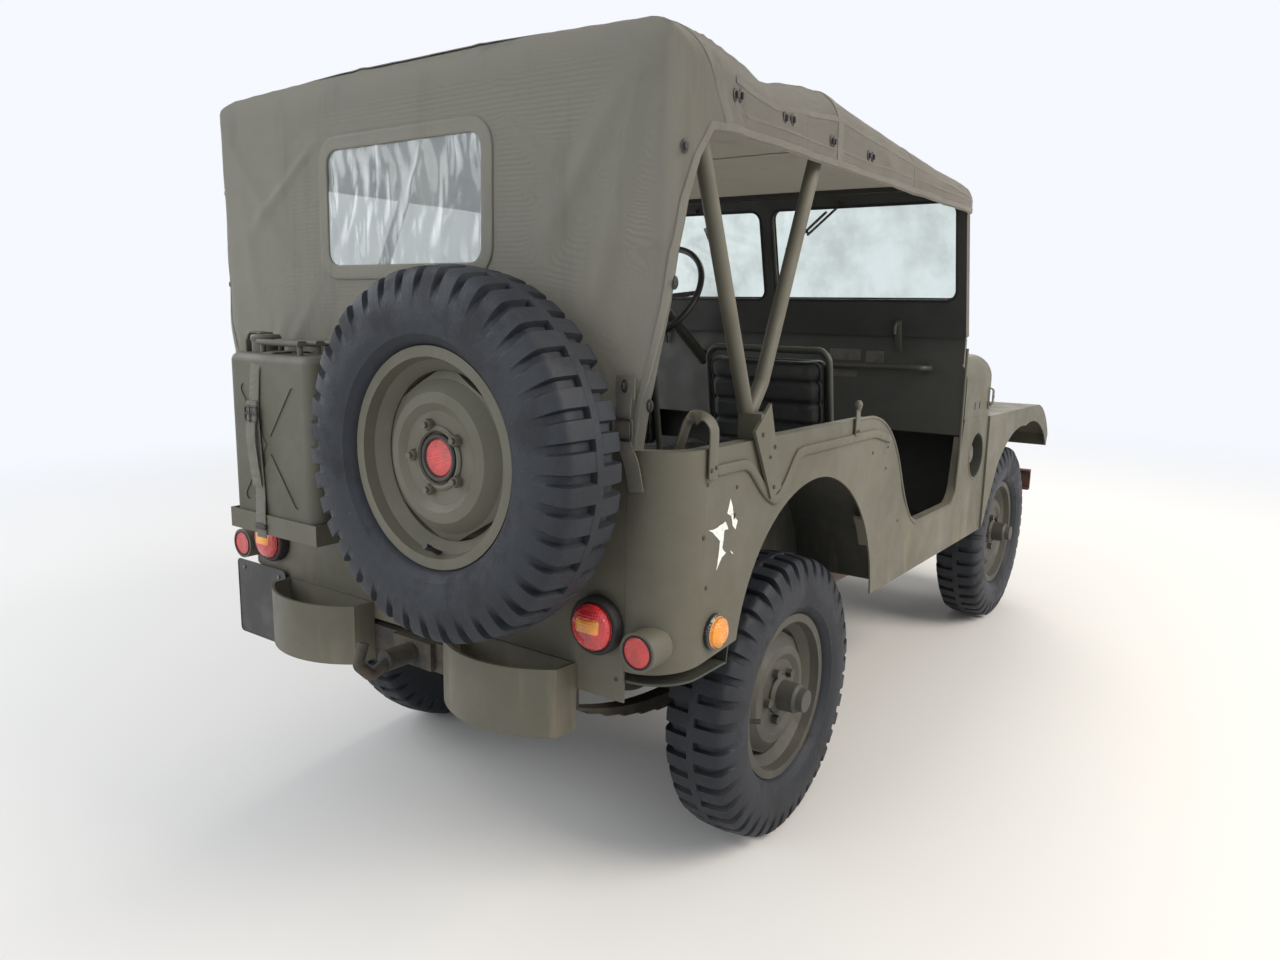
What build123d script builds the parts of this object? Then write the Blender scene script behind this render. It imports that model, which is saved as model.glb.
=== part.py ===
"""Army 4x4 utility car with canvas top, as separate pieces in millimetres.

The sprung body is drawn level, with X = 0 over the rear axle, X forward,
Y to the car's left and Z up from the ground.  At the end it is tipped
nose down by its rake about the front axle, and the whole car is moved so
that the origin is on the ground under the middle of its box.
"""
from build123d import *
from math import atan2, cos, pi, radians, sin, sqrt, tan
import os

# Wheels and stance
WHEELBASE = 2057
TRACK = 1248
TYRE_R = 385
TYRE_WIDTH = 188
TREAD_BARS = 28
BAR_WIDTH = 50
BAR_FOOT = 101
TREAD_DEPTH = 19
TREAD_HALF = 74
RIM_FLANGE_R = 226
RIM_WIDTH = 132
BEAD_R = 204
WELL_R = 176
RIM_GAUGE = 6
DISC_FACE_Y = 34
STUD_CIRCLE = 139.7
STUD_R = 7.5
STUD_COUNT = 5
HUB_BORE_R = 54
GAP_HALF_DEG = 21
GAP_ANGLES = (30, 150, 210, 330)
DRUM_R = 132
DRUM_WIDTH = 52
SPINDLE_R = 24
RUNNING_GAP = 0.5
RAKE_DEG = 2.5
RAKE_Z = 376

# Axles and steering
KINGPIN_INSET = 119
KINGPIN_Y = TRACK / 2 - KINGPIN_INSET
SEAT_HALF = 70
SEAT_PAD = 9
AXLE_TUBE_R = 36
DIFF_Y = -160
DIFF_R = 116
DIFF_HALF = 92
BALL_R = 66
SHELL_GAUGE = 12
NECK_R = 52
ARM_REACH = 150
ARM_RISE = 62
TIE_END_Y = KINGPIN_Y
TIE_ROD_R = 13
TIE_PIN_R = 8
WHEEL_R = 215
COLUMN_R = 22
COLUMN_TOP = (812, 355, 1388)
COLUMN_FOOT = (1950, 300, 600)

# Chassis frame
RAIL_Y = 340
RAIL_WIDTH = 50
RAIL_HEIGHT = 92
FRAME_FRONT_X = 2626
FRAME_REAR_X = -690
CROSS_LENGTH = 60
MUFFLER_Y = -452
MUFFLER_R = 58

# Body sheet metal
BODY_HALF = 765
SHEET = 5
REAR_X = -690
CORNER_R = 115
REAR_SEAM_Y = BODY_HALF - CORNER_R - 2
CUT_Y = BODY_HALF + 135
REAR_BOTTOM_Z = 500
RAIL_TOP_Z = 1040
RAIL_DEPTH = 34
SILL_Z = 510
FLOOR_Z = 545
STEP_Z = 672
COWL_REAR_X = 1150
COWL_FRONT_X = 1480
COWL_TOP_Z = 1236
COWL_EDGE_Z = 1186
DASH_BOTTOM_Z = 905
WHEELHOUSE_Y = TRACK / 2 - TYRE_WIDTH / 2 - 25
RECESS_R = 82
RECESS_X = 1352
RECESS_Z = 816
SEAM_GAP = 0.3

# Front sheet metal
FENDER_HALF = BODY_HALF + 8
FENDER_INNER_Y = 372
FENDER_TOP_Z = 954
GRILLE_X = 2462
GRILLE_HALF = 490
GRILLE_TOP_Z = 1082
GRILLE_BOTTOM_Z = 592
GRILLE_SLOTS = 7
SLOT_WIDTH = 34
SLOT_PITCH = 62
HEADLAMP_Y = 345
HEADLAMP_Z = 915
HEADLAMP_R = 98
HOOD_GAP = 6
HINGE_Y = 330
HINGE_PIN_R = 6

# Windshield
SHIELD_TILT = 13.8
SHIELD_HALF = BODY_HALF - 10
SHIELD_FOOT_Z = 1250
SHIELD_HEIGHT = 508
SHIELD_DEPTH = 32
GLASS_LOW = 130
GLASS_HIGH = 466
GLASS_HALF = SHIELD_HALF - 33
DIVIDER = 44
GLASS_GAUGE = 5

# Canvas top and its bows
CANVAS = 6
TOP_HALF = BODY_HALF + 3
TOP_CORNER_R = 95
VALANCE_Z = 1660
CURTAIN_HEM_Z = 1046
BOW_R = 17.5
BOW_Y = BODY_HALF - 37
WINDOW_HALF = 270
WINDOW_LOW_Z = 1405
WINDOW_HIGH_Z = 1690
WINDOW_CORNER_R = 40

# Seats
SEAT_Y = 330
SEAT_HALF_WIDTH = 215
SEAT_TUBE_R = 11
SEAT_PIVOT_X = 930
SEAT_PIVOT_Z = 567
SEAT_PIN_R = 6
BENCH_Z = 759.7

# Rear fittings
SPARE_X = -863
SPARE_Y = -331
SPARE_Z = 1014
TAIL_LAMP_Y = REAR_SEAM_Y - 64
TAIL_LAMP_Z = 662
REFLECTOR_Y = REAR_SEAM_Y + 56
REFLECTOR_R = 42
CAN_WIDTH = 345
CAN_DEPTH = 165
CAN_HEIGHT = 440
CAN_Y = 290
CAN_X = -800
CAN_Z = 756
BUMPER_X = 2640
BUMPER_HALF = 675
BUMPER_Z = 539
BUMPERETTE_Y = 340
BUMPERETTE_HALF = 180
BUMPERETTE_BULGE = 128
BUMPERETTE_LOW_Z = 405
BUMPERETTE_HEIGHT = 155
PLATE = 7

AXLE_Z = TYRE_R
FRONT = Vector(WHEELBASE, 0, AXLE_Z)
RAKE = Pos(WHEELBASE, 0, RAKE_Z) * Rot(0, RAKE_DEG, 0) * Pos(-WHEELBASE, 0, -RAKE_Z)
nodes = {}


def outline(start, *steps):
    """Closed face; a step is an end point, or (middle, end) for an arc."""
    edges = []
    here = start
    for step in steps:
        if isinstance(step[0], tuple):
            edges.append(ThreePointArc(here, step[0], step[1]))
            here = step[1]
        else:
            edges.append(Line(here, step))
            here = step
    if here != start:
        edges.append(Line(here, start))
    return make_face(edges)


def side_prism(face, y_low, y_high):
    """A face drawn in X and Z, carried along Y."""
    return Pos(0, y_high, 0) * extrude(Plane.XZ * face, y_high - y_low)


def plan_prism(face, z_low, z_high):
    """A face drawn in X and Y, carried up Z."""
    return Pos(0, 0, z_low) * extrude(face, z_high - z_low)


def cross_prism(face, x_low, x_high):
    """A face drawn in Y and Z, carried along X."""
    return Pos(x_low, 0, 0) * extrude(Plane.YZ * face, x_high - x_low)


def block(x_low, x_high, y_low, y_high, z_low, z_high):
    size = Box(x_high - x_low, y_high - y_low, z_high - z_low)
    return Pos((x_low + x_high) / 2, (y_low + y_high) / 2, (z_low + z_high) / 2) * size


def rod_y(x, y_low, y_high, z, radius):
    return Pos(x, (y_low + y_high) / 2, z) * Rot(90, 0, 0) * Cylinder(radius, y_high - y_low)


def rod_x(x_low, x_high, y, z, radius):
    return Pos((x_low + x_high) / 2, y, z) * Rot(0, 90, 0) * Cylinder(radius, x_high - x_low)


def rod_z(x, y, z_low, z_high, radius):
    return Pos(x, y, (z_low + z_high) / 2) * Cylinder(radius, z_high - z_low)


def tube(points, radius, bend):
    """A round bar along straight runs joined by bends of one radius."""
    path = FilletPolyline(*points, radius=bend) if len(points) > 2 else Line(*points)
    section = Plane(path @ 0, z_dir=path % 0) * Circle(radius)
    return sweep(section, path=path)


def turned_x(points, x, y, z):
    """A profile of (radius, offset forward) turned about a line along X."""
    face = make_face(Polyline(*points, close=True))
    return Pos(x, y, z) * Rot(0, 0, -90) * revolve(Plane.XY * face, axis=Axis.Y)


def both_sides(right):
    """A right-hand solid and its mirror image on the left."""
    return [right, mirror(right, about=Plane.XZ)]


def stance(point):
    """A point of the level body where it stands once the body is raked."""
    return (RAKE * Pos(*point)).position


def put(name, shapes, sprung=True):
    """Keep the solids of one node, raked with the body if they are sprung."""
    solids = []
    for shape in shapes if isinstance(shapes, (list, tuple)) else [shapes]:
        solids += list(shape.solids())
    nodes[name] = [RAKE * s if sprung else s for s in solids]


# Wheels: every profile has columns radius, offset outward along Y.


def revolved(points):
    """Turn a profile of (radius, outward offset) about the wheel's own Y axis."""
    face = make_face(Polyline(*points, close=True))
    return revolve(Plane.XY * face, axis=Axis.Y)


def symmetric(half):
    """Face closed by a half profile and its mirror image across the wheel's middle."""
    return make_face(Polyline(*half, *[(r, -y) for r, y in reversed(half)], close=True))


def tyre():
    """Solid tyre in flat facets, one pitch of the tread per facet.

    Each pitch is a wedge of the carcass with one straight bar across it.  The
    bar's ends run from the widest part of the sidewall to the tread's edge.
    """
    seat_y = RIM_WIDTH / 2 - RIM_GAUGE - RUNNING_GAP
    bead_r = BEAD_R + RIM_GAUGE + RUNNING_GAP
    widest = (TYRE_R - BAR_FOOT, TYRE_WIDTH / 2)
    carcass = symmetric([(bead_r, seat_y), (RIM_FLANGE_R + RUNNING_GAP, seat_y), widest,
                         (TYRE_R - TREAD_DEPTH, TREAD_HALF - 12)])
    half_angle = radians(180 / TREAD_BARS)
    reach = TYRE_R * 1.2
    half_side = reach * tan(half_angle)
    wedge_face = make_face(Polyline((0, 0), (reach, half_side), (reach, -half_side), close=True))
    wedge = extrude(Plane.XZ * wedge_face, TYRE_WIDTH, both=True)
    pitch = extrude(Plane.XY * carcass, half_side, both=True) & wedge
    pitch += extrude(Plane.XY * symmetric([widest, (TYRE_R, TREAD_HALF)]), BAR_WIDTH / 2, both=True)
    return Part() + [Rot(0, 360 / TREAD_BARS * i, 0) * pitch for i in range(TREAD_BARS)]


def wheel_rim():
    """Drop-centre rim with its pressed disc; the outward side is +Y."""
    half = RIM_WIDTH / 2
    g = RIM_GAUGE
    barrel = [
        (RIM_FLANGE_R, -half), (RIM_FLANGE_R, -half + g), (BEAD_R + g, -half + g),
        (BEAD_R, -half + 24), (WELL_R + g, -20), (WELL_R + g, 14), (BEAD_R, half - 24),
        (BEAD_R + g, half - g), (RIM_FLANGE_R, half - g), (RIM_FLANGE_R, half),
        (BEAD_R, half), (BEAD_R - g, half - 24), (WELL_R, 18), (WELL_R, -24),
        (BEAD_R - g, -half + 24), (BEAD_R, -half),
    ]
    disc = [
        (WELL_R + 1, 6), (WELL_R + 1, 14), (160, 22), (134, 46), (112, 50), (96, DISC_FACE_Y + g),
        (HUB_BORE_R, DISC_FACE_Y + g), (HUB_BORE_R, DISC_FACE_Y), (94, DISC_FACE_Y),
        (108, 43), (130, 40), (154, 16), (162, 6),
    ]
    # The disc's edge is cut flat in four places, which leaves gaps beside the barrel.
    plate = revolved(disc)
    beyond = block(-WELL_R, WELL_R, -RIM_GAUGE, DISC_FACE_Y, WELL_R * cos(radians(GAP_HALF_DEG)), WELL_R + 10)
    for angle in GAP_ANGLES:
        plate -= Rot(0, angle, 0) * beyond
    wheel = revolved(barrel) + plate
    stud_hole = rod_y(STUD_CIRCLE / 2, DISC_FACE_Y - 20, DISC_FACE_Y + 30, 0, STUD_R + RUNNING_GAP)
    for i in range(STUD_COUNT):
        wheel -= Rot(0, 360 / STUD_COUNT * i, 0) * stud_hole
    return wheel


def hub_and_drum():
    """Brake drum and hub that carry one road wheel, with studs and nuts."""
    face_y = DISC_FACE_Y
    drum = [
        (DRUM_R, face_y - DRUM_WIDTH), (DRUM_R, face_y - 6), (DRUM_R - 10, face_y),
        (SPINDLE_R + RUNNING_GAP, face_y), (SPINDLE_R + RUNNING_GAP, face_y - 26),
        (46, face_y - 26), (46, face_y - 12), (DRUM_R - 8, face_y - 12),
        (DRUM_R - 8, face_y - DRUM_WIDTH),
    ]
    hub = [
        (SPINDLE_R + RUNNING_GAP, face_y - 1), (HUB_BORE_R - 1, face_y - 1),
        (HUB_BORE_R - 1, face_y + 12), (42, face_y + 20), (40, face_y + 66),
        (33, face_y + 74), (30, face_y + 92), (0, face_y + 92), (0, face_y + 62),
        (SPINDLE_R + RUNNING_GAP, face_y + 62),
    ]
    piece = revolved(drum) + revolved(hub)
    stud = rod_y(STUD_CIRCLE / 2, face_y - 4, face_y + 20, 0, STUD_R)
    nut_face = Plane.XZ * RegularPolygon(13, 6)
    nut = Pos(STUD_CIRCLE / 2, face_y + 22, 0) * extrude(nut_face, 22 - RIM_GAUGE - SEAM_GAP)
    for i in range(STUD_COUNT):
        piece += Rot(0, 360 / STUD_COUNT * i, 0) * (stud + nut)
    return piece


TYRE_SOLID = tyre()
RIM_SOLID = wheel_rim()
HUB_SOLID = hub_and_drum()
WHEELS = [("rear_left", 0, 1), ("rear_right", 0, -1), ("front_left", WHEELBASE, 1),
          ("front_right", WHEELBASE, -1)]
for name, x, side in WHEELS:
    turn = Rot(0, 0, 0) if side > 0 else Rot(0, 0, 180)
    place = Pos(x, side * TRACK / 2, AXLE_Z) * turn
    put("tyre_" + name, place * TYRE_SOLID, sprung=False)
    put("wheel_" + name, place * RIM_SOLID, sprung=False)
    put("hub_" + name, place * HUB_SOLID, sprung=False)

# Axles

DRUM_BACK = TRACK / 2 + DISC_FACE_Y - DRUM_WIDTH
SPINDLE_TIP = TRACK / 2 + DISC_FACE_Y + 56


def differential(nose_sign):
    """Bulged housing with its cover and the pinion nose towards the middle."""
    lens = outline((0, -DIFF_HALF), ((DIFF_R, 0), (0, DIFF_HALF)))
    bulge = Pos(0, DIFF_Y, 0) * revolve(lens, axis=Axis.Y)
    nose = rod_x(0, 215, DIFF_Y, 0, 48)
    flange = rod_x(205, 222, DIFF_Y, 0, 58)
    body = bulge + nose + flange
    return Rot(0, 0, 0) * body if nose_sign > 0 else mirror(body, about=Plane.YZ)


def axle_seats():
    """Pads under the axle tube that the springs are clamped to."""
    return [block(-SEAT_HALF, SEAT_HALF, side * RAIL_Y - 30, side * RAIL_Y + 30, -AXLE_TUBE_R - SEAT_PAD, -10)
            for side in (1, -1)]


rear = rod_y(0, -DRUM_BACK - 10, DRUM_BACK + 10, 0, AXLE_TUBE_R) + differential(1)
rear += rod_y(0, -SPINDLE_TIP, SPINDLE_TIP, 0, SPINDLE_R)
for side in (1, -1):
    rear += rod_y(0, *sorted((side * (DRUM_BACK - 8), side * (DRUM_BACK - 2))), 0, DRUM_R)
for seat in axle_seats():
    rear += seat
put("rear_axle", Pos(0, 0, AXLE_Z) * rear, sprung=False)

front = rod_y(0, -KINGPIN_Y, KINGPIN_Y, 0, AXLE_TUBE_R) + differential(-1)
for side in (1, -1):
    front += Pos(0, side * KINGPIN_Y, 0) * Sphere(BALL_R)
for seat in axle_seats():
    front += seat
put("front_axle", Pos(*FRONT) * front, sprung=False)

# Steering knuckles turn about a vertical kingpin at the middle of each ball.


def knuckle():
    """Left knuckle about its kingpin: ball shell, spindle, back plate and arm.

    The arm runs straight ahead of the kingpin, so the two arms and the tie
    rod make a parallelogram and both wheels turn alike.
    """
    inner = BALL_R + RUNNING_GAP
    outer = inner + SHELL_GAUGE
    shell = Sphere(outer) - Sphere(inner)
    shell &= block(-outer, outer, -8, outer, -outer, outer)
    back_y = DRUM_BACK - KINGPIN_Y
    spindle = rod_y(0, inner + 2, SPINDLE_TIP - KINGPIN_Y, 0, SPINDLE_R)
    neck = rod_y(0, inner + 2, back_y - 4, 0, NECK_R)
    plate = rod_y(0, back_y - 8, back_y - 2, 0, DRUM_R)
    arm = extrude(outline((0, -28), (0, 28), (ARM_REACH - 6, 17), (ARM_REACH - 6, -17)), 12)
    arm += rod_z(ARM_REACH, 0, 0, 12, 20)
    arm = Pos(0, 0, ARM_RISE) * arm - Sphere(inner)
    pin = rod_z(ARM_REACH, 0, ARM_RISE - 34, ARM_RISE + 2, TIE_PIN_R)
    caps = rod_z(0, 0, outer - 6, outer + 8, 30) + rod_z(0, 0, -outer - 8, -outer + 6, 30)
    return shell + spindle + neck + plate + arm + pin + caps


KNUCKLE = knuckle()
put("knuckle_left", Pos(WHEELBASE, KINGPIN_Y, AXLE_Z) * KNUCKLE, sprung=False)
put("knuckle_right", Pos(WHEELBASE, -KINGPIN_Y, AXLE_Z) * mirror(KNUCKLE, about=Plane.XZ), sprung=False)

TIE_X = WHEELBASE + ARM_REACH
TIE_Z = AXLE_Z + ARM_RISE - 18
tie = rod_y(TIE_X, -TIE_END_Y, TIE_END_Y, TIE_Z, TIE_ROD_R)
for side in (1, -1):
    tie += rod_z(TIE_X, side * TIE_END_Y, TIE_Z - 15, TIE_Z + 15, 19)
    tie -= rod_z(TIE_X, side * TIE_END_Y, TIE_Z - 40, TIE_Z + 40, TIE_PIN_R + RUNNING_GAP)
put("tie_rod", tie, sprung=False)

# Chassis frame: columns are X, Z of the rail's lower edge.

RAIL_LINE = [
    (FRAME_REAR_X, 416), (-420, 424), (-200, 440), (200, 440), (470, 412), (1560, 412),
    (1800, 470), (2260, 476), (FRAME_FRONT_X, 494),
]
# Columns: rear X, lower Z, upper Z
CROSS_MEMBERS = [
    (FRAME_REAR_X, 424, 500), (440, 426, 500), (1130, 410, 429.7), (1660, 470, 520), (2385, 500, 576),
]


# Columns: X, Z of the rail's top, Z of what rests on it, radius
BODY_MOUNTS = [
    (-620, 500, FLOOR_Z, 22), (100, 525, FLOOR_Z, 22), (640, 500, FLOOR_Z, 22), (1240, 500, FLOOR_Z, 22),
    (GRILLE_X + 15, 570, GRILLE_BOTTOM_Z, 13),
]


def rail_solid():
    lower = list(RAIL_LINE)
    upper = [(x, z + RAIL_HEIGHT) for x, z in reversed(RAIL_LINE)]
    face = make_face(Polyline(*lower, *upper, close=True))
    half = RAIL_WIDTH / 2
    rail = side_prism(face, RAIL_Y - half, RAIL_Y + half)
    return rail


chassis = rail_solid()
chassis += mirror(chassis, about=Plane.XZ)
for x, low, high in CROSS_MEMBERS:
    chassis += block(x, x + CROSS_LENGTH, -RAIL_Y, RAIL_Y, low, high)
for x, low, high, radius in BODY_MOUNTS:
    for side in (1, -1):
        chassis += rod_z(x, side * RAIL_Y, low, high - SEAM_GAP, radius)
muffler_side = MUFFLER_Y + MUFFLER_R + SEAM_GAP
chassis += block(830, 870, muffler_side, -RAIL_Y, 434, 466)

# Leaf springs: columns are axle X, front eye X and Z, rear eye X and Z (level body).

SPRINGS = [("rear", 0, 500, 372, -520, 372), ("front", WHEELBASE, 2566, 440, 1540, 372)]
LEAF_WIDTH = 44
LEAF_GAUGE = 7
LEAF_COUNT = 6
LEAF_STEP = 0.15
LEAF_SEAT = 5
EYE_R = 20
EYE_PIN_R = 9


def circle_through(a, b, c):
    """Centre X and Z and radius of the circle through three points."""
    (ax, az), (bx, bz), (cx, cz) = a, b, c
    turn = 2 * (ax * (bz - cz) + bx * (cz - az) + cx * (az - bz))
    x = ((ax**2 + az**2) * (bz - cz) + (bx**2 + bz**2) * (cz - az) + (cx**2 + cz**2) * (az - bz)) / turn
    z = ((ax**2 + az**2) * (cx - bx) + (bx**2 + bz**2) * (ax - cx) + (cx**2 + cz**2) * (bx - ax)) / turn
    return x, z, sqrt((ax - x) ** 2 + (az - z) ** 2)


def leaf_spring(axle_x, front_eye, rear_eye):
    """A pack of concentric leaves under the axle, each shorter than the one above."""
    seat_z = AXLE_Z - AXLE_TUBE_R - SEAT_PAD
    seat = (axle_x, seat_z - LEAF_SEAT)
    ends = [(x, z - EYE_R + 2) for x, z in (rear_eye, front_eye)]
    cx, cz, radius = circle_through(ends[0], seat, ends[1])
    angles = [atan2(x - cx, cz - z) for x, z in (ends[0], seat, ends[1])]

    def at(r, angle):
        return cx + r * sin(angle), cz - r * cos(angle)

    pack = None
    for i in range(LEAF_COUNT):
        share = 1 - LEAF_STEP * i
        r = radius + LEAF_GAUGE * i
        a, b = (angles[1] + (angle - angles[1]) * share for angle in (angles[0], angles[2]))
        middle = (a + b) / 2
        face = make_face([
            ThreePointArc(at(r, a), at(r, middle), at(r, b)),
            Line(at(r, b), at(r + LEAF_GAUGE, b)),
            ThreePointArc(at(r + LEAF_GAUGE, b), at(r + LEAF_GAUGE, middle), at(r + LEAF_GAUGE, a)),
            Line(at(r + LEAF_GAUGE, a), at(r, a)),
        ])
        leaf = side_prism(face, -LEAF_WIDTH / 2, LEAF_WIDTH / 2)
        pack = leaf if pack is None else pack + leaf
    for x, z in (rear_eye, front_eye):
        pack += rod_y(x, -LEAF_WIDTH / 2, LEAF_WIDTH / 2, z, EYE_R)
        pack -= rod_y(x, -LEAF_WIDTH, LEAF_WIDTH, z, EYE_PIN_R + RUNNING_GAP)
    depth = LEAF_GAUGE * LEAF_COUNT
    pack += block(axle_x - 50, axle_x + 50, -LEAF_WIDTH / 2, LEAF_WIDTH / 2, seat_z - 12, seat_z)
    pack += block(axle_x - 55, axle_x + 55, -34, 34, seat_z - depth - 16, seat_z - depth)
    return pack


springs = []
HANGER = 6
for _, axle_x, fx, fz, rx, rz in SPRINGS:
    front_eye = stance((fx, 0, fz))
    rear_eye = stance((rx, 0, rz))
    pack = leaf_spring(axle_x, (front_eye.X, front_eye.Z), (rear_eye.X, rear_eye.Z))
    springs += [Pos(0, side * RAIL_Y, 0) * pack for side in (1, -1)]
    for x, z in ((fx, fz), (rx, rz)):
        for side in (1, -1):
            for cheek in (1, -1):
                y = side * RAIL_Y + cheek * (LEAF_WIDTH / 2 + SEAM_GAP)
                y_low, y_high = sorted((y, y + cheek * HANGER))
                plate = block(x - 26, x + 26, y_low, y_high, z - 24, z + 80)
                chassis += plate
            chassis += rod_y(x, side * RAIL_Y - 26, side * RAIL_Y + 26, z, EYE_PIN_R)
put("chassis_frame", chassis)
put("leaf_springs", springs, sprung=False)

# Body sides

ARCH = [(-425, 592), (-353, 754), (-280, 827), (-158, 897), (15, 908), (159, 861), (280, 755),
        (335, 648), (371, SILL_Z)]


def side_face():
    """Outline of a body side with its wheel arch and door opening."""
    edges = [
        Line((REAR_X - 20, 569), (ARCH[0][0], ARCH[0][1])),
        ThreePointArc(ARCH[0], ARCH[2], ARCH[4]),
        ThreePointArc(ARCH[4], ARCH[6], ARCH[8]),
        Line(ARCH[8], (COWL_FRONT_X, SILL_Z)),
        Line((COWL_FRONT_X, SILL_Z), (COWL_FRONT_X, 962)),
        Line((COWL_FRONT_X, 962), (1180, 962)),
        Line((1180, 962), (1138, 742)),
        ThreePointArc((1138, 742), (1120, 700), (1076, STEP_Z)),
        Line((1076, STEP_Z), (734, STEP_Z)),
        ThreePointArc((734, STEP_Z), (670, 700), (560, 849)),
        ThreePointArc((560, 849), (440, 990), (284, RAIL_TOP_Z)),
        Line((284, RAIL_TOP_Z), (REAR_X - 20, RAIL_TOP_Z)),
        Line((REAR_X - 20, RAIL_TOP_Z), (REAR_X - 20, 569)),
    ]
    return make_face(edges)


def corner_plan(inset, x_front):
    """Plan of the right side with its rounded rear corner, moved inward."""
    r = CORNER_R - inset
    x = REAR_X + inset
    y = -BODY_HALF + inset
    mid = (x + r * (1 - cos(radians(45))), y + r * (1 - sin(radians(45))))
    return outline((x_front, y), (x_front, 0), (x, 0), (x, y + r), (mid, (x + r, y)))


shell = plan_prism(corner_plan(0, COWL_FRONT_X) - corner_plan(SHEET, COWL_FRONT_X + 1), 400, 1300)
shell &= block(-800, 1600, -CUT_Y, -REAR_SEAM_Y, 400, 1300)
side = shell & side_prism(side_face(), -CUT_Y, -WHEELHOUSE_Y)
rail_cap = plan_prism(corner_plan(SHEET - 1, 284) - corner_plan(RAIL_DEPTH, 285), RAIL_TOP_Z - 20, RAIL_TOP_Z)
rail_cap &= block(-800, 284, -CUT_Y, -REAR_SEAM_Y, 900, 1100)
entry_lip = side_prism(side_face() - offset(side_face(), amount=-SHEET), -BODY_HALF + 1, -BODY_HALF + 30)
entry_lip &= block(285, 1200, -CUT_Y, -REAR_SEAM_Y, STEP_Z - 10, 1035)
entry_lip -= block(1140, 1200, -CUT_Y, -REAR_SEAM_Y, DASH_BOTTOM_Z - 5, 1035)
side = side + rail_cap + entry_lip
RIB = [(-560, 992), (-404, 992), (-322, 915), (-262, 884), (-214, 925), (-160, 990), (330, 992), (452, 962)]
rib_path = FilletPolyline(*RIB, radius=26)
rib = side_prism(trace(rib_path, 20), -BODY_HALF - 4, -BODY_HALF + 1)
side = side + rib
recess_hole = rod_y(RECESS_X, -BODY_HALF - 20, -BODY_HALF + 20, RECESS_Z, RECESS_R)
side_right = side - recess_hole
dish = rod_y(RECESS_X, -BODY_HALF + 1, -BODY_HALF + 62, RECESS_Z, RECESS_R + SHEET)
dish -= rod_y(RECESS_X, -BODY_HALF, -BODY_HALF + 58, RECESS_Z, RECESS_R)
side_right = side_right + dish
put("body_sides", [side_right, mirror(side, about=Plane.XZ)])

# Wheelhouses, and the floor with its tunnel and seat hinges

HOUSE_GROW = 20


def house_face(grow):
    return outline(
        (-440 - grow, FLOOR_Z - 2), ((-250, 850 + grow), (-20, 912 + grow)),
        ((220, 836 + grow), (392 + grow, FLOOR_Z - 2)),
    )


floor_front_x = COWL_FRONT_X - SHEET - SEAM_GAP
inner_half = BODY_HALF - SHEET - SEAM_GAP
floor = block(REAR_X + SHEET + SEAM_GAP, floor_front_x, -inner_half, inner_half, FLOOR_Z, FLOOR_Z + SHEET)
corner_inset = SHEET + SEAM_GAP
corner_keep = plan_prism(corner_plan(corner_inset, COWL_FRONT_X) + mirror(
    corner_plan(corner_inset, COWL_FRONT_X), about=Plane.XZ), 300, 1300)
floor &= corner_keep
house = side_prism(house_face(HOUSE_GROW), -inner_half, -WHEELHOUSE_Y)
house -= side_prism(house_face(HOUSE_GROW - SHEET), -inner_half - 5, -WHEELHOUSE_Y - SHEET)
house -= block(-440, 392, -inner_half - 5, -WHEELHOUSE_Y - SHEET, FLOOR_Z - 5, FLOOR_Z + 30)
put("wheelhouses", both_sides(house))
floor_cut = side_prism(house_face(HOUSE_GROW + SEAM_GAP), -inner_half - 5, -WHEELHOUSE_Y + SEAM_GAP)
for well in both_sides(floor_cut):
    floor -= well
TUNNEL_HALF = 96
TUNNEL_TOP = 690
tunnel = block(700, floor_front_x, -TUNNEL_HALF, TUNNEL_HALF, FLOOR_Z, TUNNEL_TOP)
tunnel_hole = block(695, floor_front_x + 5, -TUNNEL_HALF + SHEET, TUNNEL_HALF - SHEET,
                    FLOOR_Z - 5, TUNNEL_TOP - SHEET)
floor = floor + tunnel - tunnel_hole
for seat_y in (SEAT_Y, -SEAT_Y):
    for y in (seat_y - SEAT_HALF_WIDTH, seat_y + SEAT_HALF_WIDTH):
        floor += rod_y(SEAT_PIVOT_X, y - 16, y + 16, SEAT_PIVOT_Z, SEAT_PIN_R)
        for ear in (y - 17, y + 12):
            floor += block(SEAT_PIVOT_X - 12, SEAT_PIVOT_X + 12, ear, ear + 5, FLOOR_Z + 1, SEAT_PIVOT_Z + 10)
put("body_floor", floor)

# Rear panel between the two corner seams
rear_panel = block(REAR_X, REAR_X + SHEET, -REAR_SEAM_Y + SEAM_GAP, REAR_SEAM_Y - SEAM_GAP,
                   REAR_BOTTOM_Z, RAIL_TOP_Z)
rear_panel += block(REAR_X, REAR_X + RAIL_DEPTH, -REAR_SEAM_Y + SEAM_GAP, REAR_SEAM_Y - SEAM_GAP,
                    RAIL_TOP_Z - 20, RAIL_TOP_Z)
rear_panel -= block(REAR_X - 10, REAR_X + SHEET + 10, -RAIL_Y - 40, RAIL_Y + 40, REAR_BOTTOM_Z - 5, 516)
put("rear_panel", rear_panel)


# Cowl, hood and grille share one crowned section: half width, edge Z, crown Z.

def crown_face(half, low_z, edge_z, top_z, shoulder):
    """Closed section with upright sides, round shoulders and a low crown."""
    drop = edge_z - shoulder
    corner = shoulder * (1 - cos(radians(45)))
    return make_face([
        Line((-half, low_z), (-half, drop)),
        ThreePointArc((-half, drop), (-half + corner, edge_z - corner), (-half + shoulder, edge_z)),
        ThreePointArc((-half + shoulder, edge_z), (0, top_z), (half - shoulder, edge_z)),
        ThreePointArc((half - shoulder, edge_z), (half - corner, edge_z - corner), (half, drop)),
        Line((half, drop), (half, low_z)),
        Line((half, low_z), (-half, low_z)),
    ])


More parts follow.
